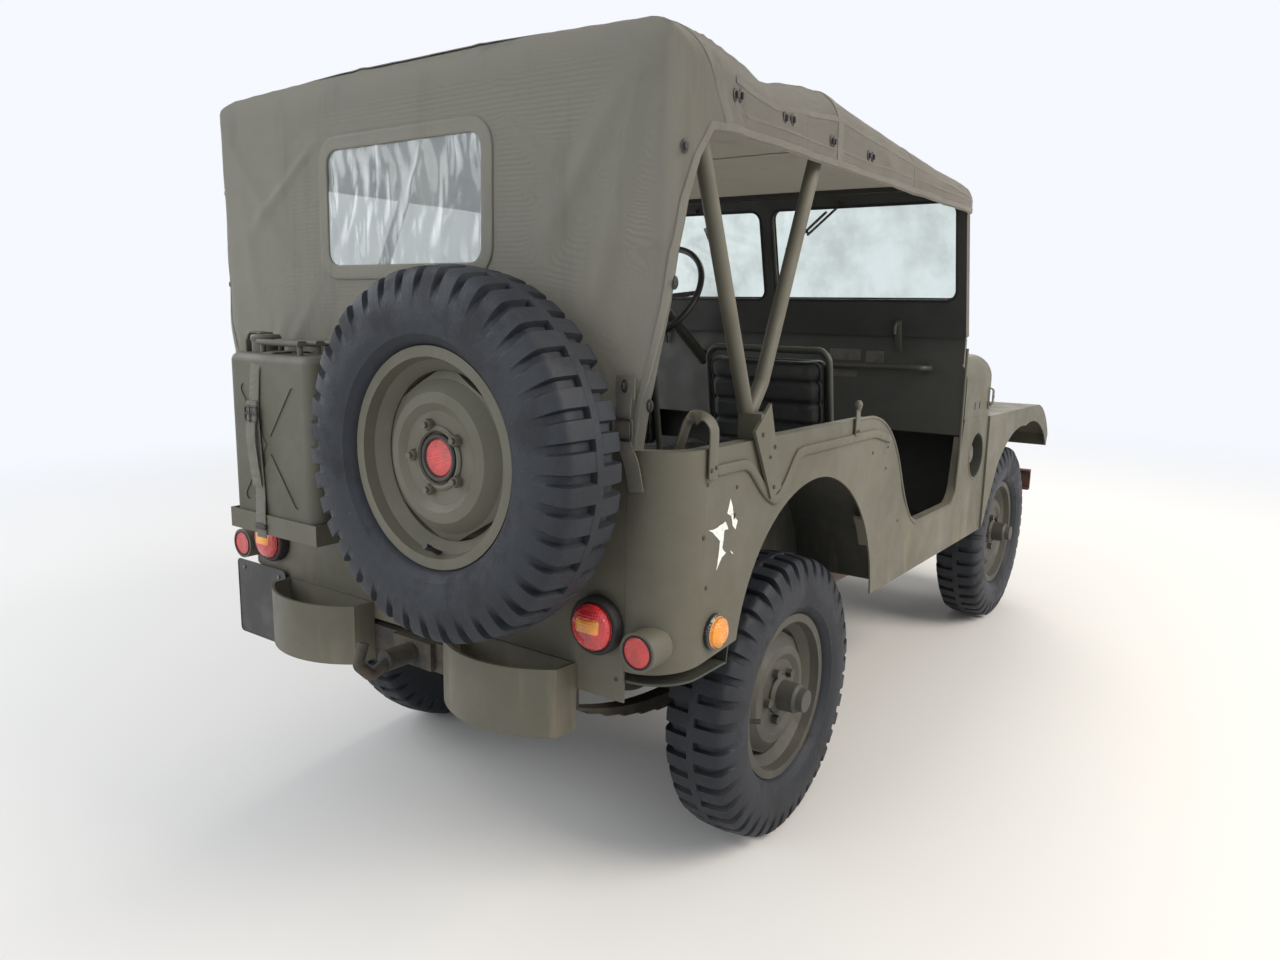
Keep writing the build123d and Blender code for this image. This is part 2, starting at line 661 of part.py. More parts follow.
COWL_HALF = BODY_HALF
SHOULDER_R = 88
COWL_LOW_Z = 962 + SEAM_GAP
DASH_X = COWL_REAR_X + 22
FIREWALL_Z = TUNNEL_TOP + 10
cowl_face = crown_face(COWL_HALF, COWL_LOW_Z, COWL_EDGE_Z, COWL_TOP_Z, SHOULDER_R)
cowl_inner = crown_face(COWL_HALF - SHEET, COWL_LOW_Z - 5, COWL_EDGE_Z - SHEET, COWL_TOP_Z - SHEET,
                        SHOULDER_R - SHEET)
cowl = cross_prism(cowl_face, DASH_X, COWL_FRONT_X)
cowl -= cross_prism(cowl_inner, DASH_X - 12, COWL_FRONT_X + 5)
dash_half = BODY_HALF - SHEET - SEAM_GAP


def bulkhead(low_z):
    """Section that fills the cowl from a lower edge up to its skin."""
    return crown_face(dash_half, low_z, COWL_EDGE_Z - SHEET, COWL_TOP_Z - 2, SHOULDER_R - SHEET)


dash = cross_prism(bulkhead(DASH_BOTTOM_Z), DASH_X, DASH_X + SHEET)
firewall = cross_prism(bulkhead(FIREWALL_Z), COWL_FRONT_X - SHEET, COWL_FRONT_X)
firewall += block(COWL_FRONT_X - SHEET, COWL_FRONT_X, -dash_half, dash_half, FLOOR_Z, FIREWALL_Z + 2)
firewall -= block(COWL_FRONT_X - 20, COWL_FRONT_X + 20, -TUNNEL_HALF - 1, TUNNEL_HALF + 1,
                  FLOOR_Z - 45, TUNNEL_TOP + 1)
cowl = cowl + dash + firewall

# Windshield frame, tipped back about its foot
SHIELD_PLACE = Pos(COWL_REAR_X, 0, SHIELD_FOOT_Z) * Rot(0, -SHIELD_TILT, 0)
shield = block(0, SHIELD_DEPTH, -SHIELD_HALF, SHIELD_HALF, 0, SHIELD_HEIGHT)
shield = fillet(shield.edges().filter_by(Axis.X).group_by(Axis.Z)[-1], 60)
shield -= block(6, SHIELD_DEPTH - 6, -SHIELD_HALF + 30, SHIELD_HALF - 30, -1, 100)
panes = []
pane_cuts = None
for side in (1, -1):
    y_low, y_high = sorted((side * DIVIDER / 2, side * GLASS_HALF))
    cut = block(-20, 60, y_low, y_high, GLASS_LOW, GLASS_HIGH)
    cut = fillet(cut.edges().filter_by(Axis.X), 38)
    shield -= cut
    groove = block(12, 12 + GLASS_GAUGE + 1, y_low - 6, y_high + 6, GLASS_LOW - 6, GLASS_HIGH + 6)
    groove = fillet(groove.edges().filter_by(Axis.X), 42)
    shield -= groove
    pane = block(12.5, 12.5 + GLASS_GAUGE, y_low - 5.5, y_high + 5.5, GLASS_LOW - 5.5, GLASS_HIGH + 5.5)
    panes.append(SHIELD_PLACE * fillet(pane.edges().filter_by(Axis.X), 42))
put("windshield_frame", SHIELD_PLACE * shield)
put("windshield_glass", panes)

foot_wedge = cross_prism(crown_face(SHIELD_HALF - 8, 1160, SHIELD_FOOT_Z + 14, SHIELD_FOOT_Z + 16, 20),
                         DASH_X, DASH_X + 18)
foot_wedge -= cross_prism(crown_face(COWL_HALF - 1, 900, 1185, COWL_TOP_Z - 1, SHOULDER_R), 0, 2000)
foot_wedge -= SHIELD_PLACE * block(-40, 80, -CUT_Y, CUT_Y, -SEAM_GAP, 600)
cowl = cowl + foot_wedge

# Fenders


FENDER_REAR_X = COWL_FRONT_X + SEAM_GAP
FENDER_NOSE_X = 2496
FENDER_LIP_X = FENDER_NOSE_X - 19
FENDER_LIP_Z = 740
FENDER_LOW_Z = 520
APRON_LOW_Z = 600
# Cutting blocks reach past the fender on every side.
BEHIND_X = FENDER_REAR_X - 80
AHEAD_X = FENDER_NOSE_X + 100
UNDER_Z = FENDER_LOW_Z - 120
OVER_Z = FENDER_TOP_Z + 46


def fender_top(inset):
    """Edges along the fender's top line and down its nose, moved inward."""
    bend = (2270, FENDER_TOP_Z - 8 - inset)
    tip = (FENDER_NOSE_X - inset, FENDER_LIP_Z + 52)
    return [
        Line((FENDER_REAR_X, FENDER_TOP_Z - inset), bend),
        ThreePointArc(bend, (FENDER_NOSE_X - 92 - inset, FENDER_TOP_Z - 61 - inset), tip),
        Line(tip, (FENDER_LIP_X - inset, FENDER_LIP_Z)),
    ]


def skirt_face():
    """Side outline between the top line and the wheel opening."""
    return make_face(fender_top(0) + [
        Line((FENDER_LIP_X, FENDER_LIP_Z), (2420, 800)),
        ThreePointArc((2420, 800), (2300, 858), (2055, 869)),
        ThreePointArc((2055, 869), (1810, 842), (1640, 740)),
        Line((1640, 740), (FENDER_REAR_X, FENDER_LOW_Z - 8)),
        Line((FENDER_REAR_X, FENDER_LOW_Z - 8), (FENDER_REAR_X, FENDER_TOP_Z)),
    ])


def top_face(inset):
    """Everything under the fender's top line, for its hollow."""
    return make_face(fender_top(inset) + [
        Line((FENDER_LIP_X - inset, FENDER_LIP_Z), (FENDER_LIP_X - inset, FENDER_LOW_Z)),
        Line((FENDER_LIP_X - inset, FENDER_LOW_Z), (FENDER_REAR_X, FENDER_LOW_Z)),
        Line((FENDER_REAR_X, FENDER_LOW_Z), (FENDER_REAR_X, FENDER_TOP_Z - inset)),
    ])


fender = side_prism(top_face(0), -FENDER_HALF, -FENDER_INNER_Y)
fender -= side_prism(top_face(SHEET), -FENDER_HALF - 1, -FENDER_INNER_Y + 1)
fender -= block(GRILLE_X - 262, AHEAD_X, -FENDER_HALF - 1, -GRILLE_HALF, UNDER_Z, FENDER_LIP_Z + 1)
fender -= block(BEHIND_X, FENDER_REAR_X + 10, -FENDER_HALF - 1, 0, UNDER_Z, FENDER_TOP_Z - 54)
fender -= block(BEHIND_X, AHEAD_X, -GRILLE_HALF, 0, UNDER_Z, FENDER_TOP_Z - 54)
skirt = side_prism(skirt_face(), -FENDER_HALF, -FENDER_HALF + SHEET)
apron = side_prism(top_face(0), -FENDER_INNER_Y - SHEET, -FENDER_INNER_Y)
apron &= block(BEHIND_X, GRILLE_X - 2, -GRILLE_HALF, 0, APRON_LOW_Z, OVER_Z)
rear_wall = block(FENDER_REAR_X, FENDER_REAR_X + SHEET, -FENDER_HALF, -BODY_HALF + 8,
                  FENDER_LOW_Z, FENDER_TOP_Z - 2)
fender = fender + skirt + apron + rear_wall
fender -= block(GRILLE_X - 2, AHEAD_X, -GRILLE_HALF, 0, UNDER_Z, OVER_Z)
fender -= rod_x(GRILLE_X - 162, AHEAD_X, -HEADLAMP_Y, HEADLAMP_Z, HEADLAMP_R + 2)
put("fenders", both_sides(fender))

# Hood: a loft from the wide cowl section to the narrow grille section

HOOD_REAR_X = COWL_FRONT_X + HOOD_GAP
HOOD_FRONT_X = GRILLE_X - HOOD_GAP
HOOD_LOW_Z = FENDER_TOP_Z + HOOD_GAP


def hood_shell(inset):
    grow = 2 if inset else 0
    rear_face = crown_face(COWL_HALF - 8 - inset, HOOD_LOW_Z - grow, COWL_EDGE_Z - inset, COWL_TOP_Z - inset,
                           SHOULDER_R - inset)
    front_face = crown_face(GRILLE_HALF - inset, HOOD_LOW_Z - grow, GRILLE_TOP_Z - 22 - inset,
                            GRILLE_TOP_Z - inset, 70 - inset)
    sections = [Pos(HOOD_REAR_X - grow, 0, 0) * (Plane.YZ * rear_face),
                Pos(HOOD_FRONT_X + grow, 0, 0) * (Plane.YZ * front_face)]
    return loft(sections, ruled=True)


hood = hood_shell(0) - hood_shell(SHEET)
HINGE_X = HOOD_REAR_X
HINGE_Z = COWL_TOP_Z + 14
for side in (1, -1):
    y = side * HINGE_Y
    barrel = rod_y(HINGE_X, y - 22, y + 22, HINGE_Z, HINGE_PIN_R + 6)
    leaf = block(HINGE_X, HINGE_X + 60, y - 22, y + 22, 1180, HINGE_Z)
    leaf -= hood_shell(0)
    hood = hood + (barrel + leaf) - rod_y(HINGE_X, y - 30, y + 30, HINGE_Z, HINGE_PIN_R + RUNNING_GAP)
put("hood", hood)

hinge_pins = None
for side in (1, -1):
    y = side * HINGE_Y
    pin = rod_y(HINGE_X, y - 40, y + 40, HINGE_Z, HINGE_PIN_R)
    for ear in (1, -1):
        ear_low, ear_high = sorted((y + ear * 24, y + ear * 40))
        post = block(HINGE_X - 46, HINGE_X + 9, ear_low, ear_high, 1215, HINGE_Z + 9)
        post -= block(COWL_FRONT_X, HINGE_X + 30, ear_low - 1, ear_high + 1, 1100, HINGE_Z - 9)
        post -= cross_prism(cowl_face, COWL_REAR_X, COWL_FRONT_X)
        pin += post
    cowl = cowl + pin
column_way = Plane(Vector(*COLUMN_TOP), z_dir=Vector(*COLUMN_FOOT) - Vector(*COLUMN_TOP))
cowl -= extrude(column_way * Circle(COLUMN_R + 3), 1100)
put("cowl", cowl)

# Grille with upright slots and round openings for the headlamps
grille_face = crown_face(GRILLE_HALF, GRILLE_BOTTOM_Z, GRILLE_TOP_Z - 22, GRILLE_TOP_Z, 70)
grille = cross_prism(grille_face, GRILLE_X, GRILLE_X + 6)
grille += cross_prism(grille_face - offset(grille_face, amount=-SHEET), GRILLE_X, GRILLE_X + 30)
grille -= cross_prism(offset(grille_face, amount=-SHEET - 0.01), GRILLE_X + 6, GRILLE_X + 40)
for i in range(GRILLE_SLOTS):
    y = (i - (GRILLE_SLOTS - 1) / 2) * SLOT_PITCH
    slot = block(GRILLE_X - 10, GRILLE_X + 20, y - SLOT_WIDTH / 2, y + SLOT_WIDTH / 2, 690, 1000)
    grille -= fillet(slot.edges().filter_by(Axis.X), SLOT_WIDTH / 2 - 1)
# Bowl behind the grille, retaining ring in front of it and bulged glass
HEADLAMP_PROFILE = [
    (0, -84), (48, -76), (80, -40), (HEADLAMP_R - 9, -14), (HEADLAMP_R - 9, 0), (HEADLAMP_R, 0),
    (HEADLAMP_R, 16), (HEADLAMP_R - 7, 24), (HEADLAMP_R - 14, 24), (60, 31), (30, 35), (0, 36),
]
lamps = []
for side in (1, -1):
    grille -= rod_x(GRILLE_X - 10, GRILLE_X + 20, side * HEADLAMP_Y, HEADLAMP_Z, HEADLAMP_R - 8)
    lamps.append(turned_x(HEADLAMP_PROFILE, GRILLE_X + 6 + SEAM_GAP, side * HEADLAMP_Y, HEADLAMP_Z))
put("grille", grille)
put("headlamps", lamps)

# Radiator, engine, gearbox, propeller shafts, exhaust
BELL_X = 1640
put("radiator", block(2385, 2445, -240, 240, 576 + SEAM_GAP, 1010))
engine = block(BELL_X + SEAM_GAP, 2240, -150, 150, 640, 1060)
engine += block(BELL_X + 20, 2180, -110, 110, 545, 640)
engine += rod_x(2240, 2300, 0, 860, 60)
put("engine", engine)
gearbox = cross_prism(outline((-86, 440), (-86, 670), (86, 670), (86, 440)), 1300, BELL_X)
transfer_face = outline((-165, 430), (-165, 535), (-86, 535), (-86, 660), (86, 660), (86, 430))
gearbox += cross_prism(transfer_face, 1020, 1300)
gearbox += rod_x(940, 1400, DIFF_Y + 40, 480, 40)
put("gearbox", gearbox)

SHAFT_R = 28
JOINT_R = 34


def shaft(start, end):
    """Propeller shaft with the round housing of a universal joint at each end."""
    a = Vector(*start)
    b = Vector(*end)
    along = (b - a).normalized()
    bar = extrude(Plane(a, z_dir=along) * Circle(SHAFT_R), (b - a).length)
    return bar + Pos(*a) * Sphere(JOINT_R) + Pos(*b) * Sphere(JOINT_R)


FLANGE_X = 222
OUTPUT_Y = DIFF_Y + 40
OUTPUT_Z = 480
OUTPUT_REAR_X = 940
OUTPUT_FRONT_X = 1400
reach = JOINT_R + SEAM_GAP
rear_out = stance((OUTPUT_REAR_X - reach, OUTPUT_Y, OUTPUT_Z))
front_out = stance((OUTPUT_FRONT_X + reach, OUTPUT_Y, OUTPUT_Z))
put("propeller_shafts", [
    shaft((FLANGE_X + reach, DIFF_Y, AXLE_Z), (rear_out.X, rear_out.Y, rear_out.Z)),
    shaft((front_out.X, front_out.Y, front_out.Z), (WHEELBASE - FLANGE_X - reach, DIFF_Y, AXLE_Z)),
], sprung=False)

muffler = rod_x(640, 1060, MUFFLER_Y, 450, MUFFLER_R)
pipe = tube([(1560, -190, 640), (1540, -215, 420), (1425, -270, 376), (1400, MUFFLER_Y, 376),
             (1240, MUFFLER_Y, 450), (1040, MUFFLER_Y, 450)], 20, 50)
tail = tube([(660, MUFFLER_Y, 450), (540, MUFFLER_Y, 450), (470, -600, 430)], 20, 50)
put("exhaust", muffler + pipe + tail)

# Shock absorbers from the axle seats up to the frame
dampers = []
for axle_x, side_x, lean in ((0, 62, 210), (WHEELBASE, -62, -190)):
    for side in (1, -1):
        low = Vector(axle_x + side_x, side * 400, AXLE_Z - 30)
        high = stance((axle_x + lean, side * 400, 500))
        span = high - low
        axis = span.normalized()
        body = extrude(Plane(low + axis * 10, z_dir=axis) * Circle(24), span.length * 0.55)
        body += extrude(Plane(low + axis * 40, z_dir=axis) * Circle(10), span.length - 44)
        for end in (low, high):
            body += rod_y(end.X, *sorted((side * 370.3, side * 428)), end.Z, 17)
        dampers.append(body)
put("shock_absorbers", dampers, sprung=False)

# Seats: each frame stands on pins at its front feet
FOOT_R = 13


def seat_frame():
    """Bent tube frame of one seat about Y = 0: legs, back hoop and pan."""
    half = SEAT_HALF_WIDTH
    run = [(SEAT_PIVOT_X, half, SEAT_PIVOT_Z), (SEAT_PIVOT_X, half, 720), (560, half, 720), (478, half, 1210)]
    frame = tube(run + [(x, -y, z) for x, y, z in reversed(run)], SEAT_TUBE_R, 40)
    for y in (-half, half):
        frame += rod_z(600, y, FLOOR_Z + SHEET + SEAM_GAP, 720, SEAT_TUBE_R)
        frame += rod_y(SEAT_PIVOT_X, y - 10, y + 10, SEAT_PIVOT_Z, FOOT_R)
        frame -= rod_y(SEAT_PIVOT_X, y - 20, y + 20, SEAT_PIVOT_Z, SEAT_PIN_R + RUNNING_GAP)
    pan = block(540, 930, -half, half, 716, 722)
    return frame + pan


def seat_cushions():
    half = SEAT_HALF_WIDTH - SEAT_TUBE_R - SEAM_GAP
    seat = block(520, 950, -half, half, 722 + SEAM_GAP, 830)
    seat = fillet(seat.edges(), 30)
    back = block(-40, 40, -half, half, 0, 330)
    back = fillet(back.edges(), 28)
    return [seat, Pos(535, 0, 855) * Rot(0, -9, 0) * back]


put("driver_seat_frame", Pos(0, SEAT_Y, 0) * seat_frame())
put("passenger_seat_frame", Pos(0, -SEAT_Y, 0) * seat_frame())
put("driver_seat_cushions", [Pos(0, SEAT_Y, 0) * c for c in seat_cushions()])
put("passenger_seat_cushions", [Pos(0, -SEAT_Y, 0) * c for c in seat_cushions()])
bench_half = WHEELHOUSE_Y - 25
bench = fillet(block(-420, -60, -bench_half, bench_half, BENCH_Z + SEAM_GAP, BENCH_Z + 70).edges(), 25)
bench_back = fillet(block(-500, -440, -bench_half, bench_half, BENCH_Z + 90, BENCH_Z + 340).edges(), 25)
put("rear_bench_cushions", [bench, bench_back])
bench_frame = block(-410, -70, -bench_half - 18, bench_half + 18, BENCH_Z - 12, BENCH_Z)
for x in (-400, -80):
    for side in (1, -1):
        bench_frame += rod_z(x, side * (bench_half - 40), FLOOR_Z + SHEET, BENCH_Z - 10, 12)
for side in (1, -1):
    bench_frame += rod_z(-500 - SEAM_GAP - 11, side * 300, FLOOR_Z + SHEET, BENCH_Z + 320, 11)
put("rear_bench_frame", bench_frame)

# Steering wheel and column
top_point = Vector(*COLUMN_TOP)
down = (Vector(*COLUMN_FOOT) - top_point).normalized()
wheel_plane = Plane(top_point, z_dir=down)
ring = Torus(WHEEL_R, 12)
boss = Pos(0, 0, 26) * Cylinder(34, 36)
spokes = boss
for i in range(3):
    dip = Vector(WHEEL_R, 0, -24)
    arm = extrude(Plane((0, 0, 24), x_dir=(0, 1, 0), z_dir=dip) * Rectangle(16, 8), dip.length)
    spokes += Rot(0, 0, 120 * i + 90) * arm
put("steering_wheel", wheel_plane.location * (ring + spokes))
column = extrude(Plane(top_point + down * 44.5, z_dir=down) * Circle(COLUMN_R),
                 (Vector(*COLUMN_FOOT) - top_point).length - 44.5)
case_y = RAIL_Y - RAIL_WIDTH / 2 - SEAM_GAP
gearcase = block(1905, 2015, case_y - 62, case_y, 545, 655)
put("steering_column", column + gearcase)

# Front bumper
bumper = block(BUMPER_X, BUMPER_X + 40, -BUMPER_HALF, BUMPER_HALF, BUMPER_Z - 51, BUMPER_Z + 51)
bumper = fillet(bumper.edges().filter_by(Axis.Y), 8)
bumper -= block(BUMPER_X - 1, BUMPER_X + 33, -BUMPER_HALF - 1, BUMPER_HALF + 1, BUMPER_Z - 43, BUMPER_Z + 43)
for side in (1, -1):
    horn = block(FRAME_FRONT_X + SEAM_GAP, BUMPER_X + 34, side * RAIL_Y - 25, side * RAIL_Y + 25,
                 BUMPER_Z - 44, BUMPER_Z + 44)
    bumper += horn
put("front_bumper", bumper)


# Bumperettes: a D-shaped band open above and below
def bumperette(y):
    outer = outline((0, -BUMPERETTE_HALF), (0, BUMPERETTE_HALF),
                    (-60, BUMPERETTE_HALF - 4), ((-BUMPERETTE_BULGE, 0), (-60, -BUMPERETTE_HALF + 4)))
    band = outer - offset(outer, amount=-PLATE)
    return Pos(FRAME_REAR_X - SEAM_GAP, y, BUMPERETTE_LOW_Z) * extrude(band, BUMPERETTE_HEIGHT)


put("bumperettes", [bumperette(side * BUMPERETTE_Y) for side in (1, -1)])

hook = block(FRAME_REAR_X - 16, FRAME_REAR_X - SEAM_GAP, -70, 70, 430, 500)
hook += rod_x(-790, -700, 0, 466, 26)
hook += tube([(-780, 0, 466), (-830, 0, 440), (-868, 0, 480), (-850, 0, 530)], 14, 18)
put("pintle_hook", hook)

# Tail lamps, reflectors and side lamps
TAIL_LAMP_PROFILE = [(0, 0), (56, 0), (56, -20), (50, -26), (50, -32), (44, -40), (24, -47), (0, -49)]
tail_lamp = turned_x(TAIL_LAMP_PROFILE, REAR_X - SEAM_GAP, -TAIL_LAMP_Y, TAIL_LAMP_Z)
put("tail_lamps", both_sides(tail_lamp))
marks = []
corner_solid = plan_prism(corner_plan(-SEAM_GAP, 1000), 300, 1300)
for side in (1, -1):
    housing = rod_x(-723, -655, side * REFLECTOR_Y, 634, REFLECTOR_R)
    housing -= rod_x(-724, -719, side * REFLECTOR_Y, 634, REFLECTOR_R - 6)
    marks.append(housing - corner_solid - mirror(corner_solid, about=Plane.XZ))
put("rear_reflectors", marks)
SIDE_LAMP_PROFILE = [(0, 0), (40, 0), (40, -9), (34, -13), (32, -20), (20, -27), (0, -29)]
put("side_lamps", both_sides(Pos(-528, -BODY_HALF - SEAM_GAP, 641) * revolved(SIDE_LAMP_PROFILE)))

# Spare wheel on its carrier
spare_place = Pos(SPARE_X, SPARE_Y, SPARE_Z) * Rot(0, 0, 90)
put("spare_tyre", spare_place * TYRE_SOLID)
put("spare_wheel", spare_place * RIM_SOLID)
carrier_face_x = SPARE_X - DISC_FACE_Y + SEAM_GAP
carrier = rod_x(carrier_face_x, carrier_face_x + 12, SPARE_Y, SPARE_Z, 88)
carrier += block(carrier_face_x + 6, REAR_X - SEAM_GAP, SPARE_Y - 55, SPARE_Y + 55, SPARE_Z - 60, SPARE_Z + 8)
carrier += block(REAR_X - SEAM_GAP - 8, REAR_X - SEAM_GAP, SPARE_Y - 90, SPARE_Y + 90, 760, RAIL_TOP_Z - 4)
stud = rod_x(carrier_face_x - 28, carrier_face_x + 4, STUD_CIRCLE / 2, 0, STUD_R - 1)
for i in range(STUD_COUNT):
    carrier += Pos(0, SPARE_Y, SPARE_Z) * Rot(360 / STUD_COUNT * i, 0, 0) * stud
put("spare_carrier", carrier)

# Jerrycan in its tray
can = block(CAN_X - CAN_DEPTH / 2, CAN_X + CAN_DEPTH / 2, CAN_Y - CAN_WIDTH / 2, CAN_Y + CAN_WIDTH / 2,
            CAN_Z + SEAM_GAP, CAN_Z + CAN_HEIGHT)
can = fillet(can.edges().filter_by(Axis.Z), 34)
can = fillet(can.faces().sort_by(Axis.Z)[-1].edges(), 20)
can_top = CAN_Z + CAN_HEIGHT
# Both broad sides have a pressed groove from corner to corner, crossed by another.
groove_length = sqrt(CAN_WIDTH**2 + CAN_HEIGHT**2) - 200
groove_lean = atan2(CAN_WIDTH - 110, CAN_HEIGHT - 130)
for x in (CAN_X - CAN_DEPTH / 2, CAN_X + CAN_DEPTH / 2):
    for lean in (groove_lean, -groove_lean):
        groove = SlotOverall(groove_length, 26)
        groove = extrude(Plane.YZ * (Rot(0, 0, 90 - lean * 180 / pi) * groove), 3, both=True)
        can -= Pos(x, CAN_Y, CAN_Z + CAN_HEIGHT / 2) * groove
for offset_x in (-50, 0, 50):
    x = CAN_X + offset_x
    grip = [(CAN_Y - 90, can_top - 8), (CAN_Y - 90, can_top + 26), (CAN_Y + 60, can_top + 26),
            (CAN_Y + 60, can_top - 8)]
    can += tube([(x, y, z) for y, z in grip], 7, 12)
can += rod_z(CAN_X, CAN_Y + 125, can_top - 6, can_top + 30, 34)
put("jerrycan", can)
tray = block(CAN_X - CAN_DEPTH / 2 - 6, CAN_X + CAN_DEPTH / 2 + 6, CAN_Y - CAN_WIDTH / 2 - 6,
             CAN_Y + CAN_WIDTH / 2 + 6, CAN_Z - 5, CAN_Z + 45)
tray -= block(CAN_X - CAN_DEPTH / 2 - 1, CAN_X + CAN_DEPTH / 2 + 1, CAN_Y - CAN_WIDTH / 2 - 1,
              CAN_Y + CAN_WIDTH / 2 + 1, CAN_Z, CAN_Z + 50)
tray += block(CAN_X + CAN_DEPTH / 2 + 2, REAR_X - SEAM_GAP, CAN_Y - 120, CAN_Y + 120, CAN_Z - 5, CAN_Z + 80)
put("jerrycan_carrier", tray)

# Bows of the canvas top
REAR_BOW = [(-350, BOW_Y, 1085), (-604, BOW_Y, 1700), (-632, BOW_Y, 1850 - CANVAS - BOW_R - 0.5)]
FRONT_BOW = [(-290, BOW_Y, 1160), (-60, BOW_Y, 1700), (-24, BOW_Y, 1846 - CANVAS - BOW_R - 0.8)]
BOW_PLATE_Y = BODY_HALF + 5 + SEAM_GAP
BOW_PLATE_GAUGE = 7.7


def bow(points, bend):
    other = [(x, -y, z) for x, y, z in reversed(points)]
    return tube(points + other, BOW_R, bend)


bows = bow(REAR_BOW, 60)
bows += bow(FRONT_BOW, 60)
for side in (1, -1):
    y_low, y_high = sorted((side * BOW_PLATE_Y, side * (BOW_PLATE_Y + BOW_PLATE_GAUGE)))
    plate_face = outline((-398, 1062), (-330, 1120), (-262, 920), (-310, 900))
    bows += side_prism(plate_face, y_low, y_high)
    y_low, y_high = sorted((side * (BOW_Y - 10), side * (BOW_PLATE_Y + BOW_PLATE_GAUGE - 1)))
    bows += block(-372, -322, y_low, y_high, RAIL_TOP_Z + SEAM_GAP, 1098)
    bows += tube([(-350, side * BOW_Y, 1085), (-290, side * BOW_Y, 1160)], BOW_R, 10)
put("top_bows", bows)

# Canvas top: one closed shell, open at the sides and at the rear window.
# Columns: X, Z at the side edges, Z of the crown, radius of the long corners.
ROOF_STATIONS = [
    (-760, 1850, 1872, 95), (-610, 1850, 1872, 95), (-340, 1814, 1846, 90), (-24, 1846, 1862, 90),
    (1060, 1757.2, 1762, 62),
]
CURTAIN_X = -712
CURTAIN_CORNER_R = 70
CURTAIN_CUT_Y = TOP_HALF - 168


def top_shell(inset):
    """Solid of the erected top: roof stations, rounded over the rear curtain."""
    sections = []
    for x, edge_z, crown_z, corner in ROOF_STATIONS:
        face = crown_face(TOP_HALF - inset, CURTAIN_HEM_Z - 2, edge_z - inset, crown_z - inset,
                          corner - inset)
        sections.append(Pos(x, 0, 0) * (Plane.YZ * face))
    roof = loft(sections, ruled=True)
    x = CURTAIN_X + inset
    half = TOP_HALF - inset
    rear = outline((x, CURTAIN_HEM_Z - 2), (x + 4, 1790), ((x + 26, 1846 - inset), (x + 84, 1880 - inset)),
                   (1060, 1880), (1060, CURTAIN_HEM_Z - 2))
    r = CURTAIN_CORNER_R - inset
    bend = r * (1 - cos(radians(45)))
    plan = outline((1060, half), (x + r, half), ((x + bend, half - bend), (x, half - r)), (x, -half + r),
                   ((x + bend, -half + bend), (x + r, -half)), (1060, -half))
    return roof & side_prism(rear, -CUT_Y, CUT_Y) & plan_prism(plan, 1000, 1900)


canvas = top_shell(0) - top_shell(CANVAS)
canvas -= block(-690, 1200, -TOP_HALF + CANVAS, TOP_HALF - CANVAS, 1000, 1720)
canvas -= block(-900, 1200, -CUT_Y, CUT_Y, 1000, CURTAIN_HEM_Z)
opening = outline((-722, 1000), (-716, 1149), (-693, 1336), ((-668, 1519), (-600, 1662)), (1200, VALANCE_Z),
                  (1200, 1000))
canvas -= side_prism(opening, -CUT_Y, -CURTAIN_CUT_Y) + side_prism(opening, CURTAIN_CUT_Y, CUT_Y)


def window_block(gap):
    """Everything behind the rear window's rounded outline, drawn in by a gap."""
    box = block(-800, -650, -WINDOW_HALF + gap, WINDOW_HALF - gap, WINDOW_LOW_Z + gap, WINDOW_HIGH_Z - gap)
    return fillet(box.edges().filter_by(Axis.X), WINDOW_CORNER_R - gap)


put("canvas_top", canvas - window_block(0))
put("rear_window", (top_shell(CANVAS / 3) - top_shell(CANVAS * 2 / 3)) & window_block(SEAM_GAP))

# Finish: stand the whole car over its origin and write one file per node.

os.makedirs("parts", exist_ok=True)
boxes = [s.bounding_box() for group in nodes.values() for s in group]
rear_x = min(b.min.X for b in boxes)
front_x = max(b.max.X for b in boxes)
CENTRE_X = (rear_x + front_x) / 2
for name, solids in nodes.items():
    moved = [Pos(-CENTRE_X, 0, 0) * s for s in solids]
    shape = moved[0] if len(moved) == 1 else Compound(moved)
    export_step(shape, "parts/" + name + ".step")
print("origin moved by", round(CENTRE_X, 3), "length", round(front_x - rear_x, 1))
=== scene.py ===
# %% [markdown]
# This file dresses a small open army car.  Its steel pieces come from a fixed frame
# and are never moved: here they only get their finish.  What is soft, worn, ribbed
# or very small is made new, as surfaces worked out with numpy, and rides on the
# body of the frame that carries it on the real car.

# %% Load the frame
import math

import bmesh
import bpy
import numpy as np
from mathutils import Matrix, Vector
from mathutils.bvhtree import BVHTree


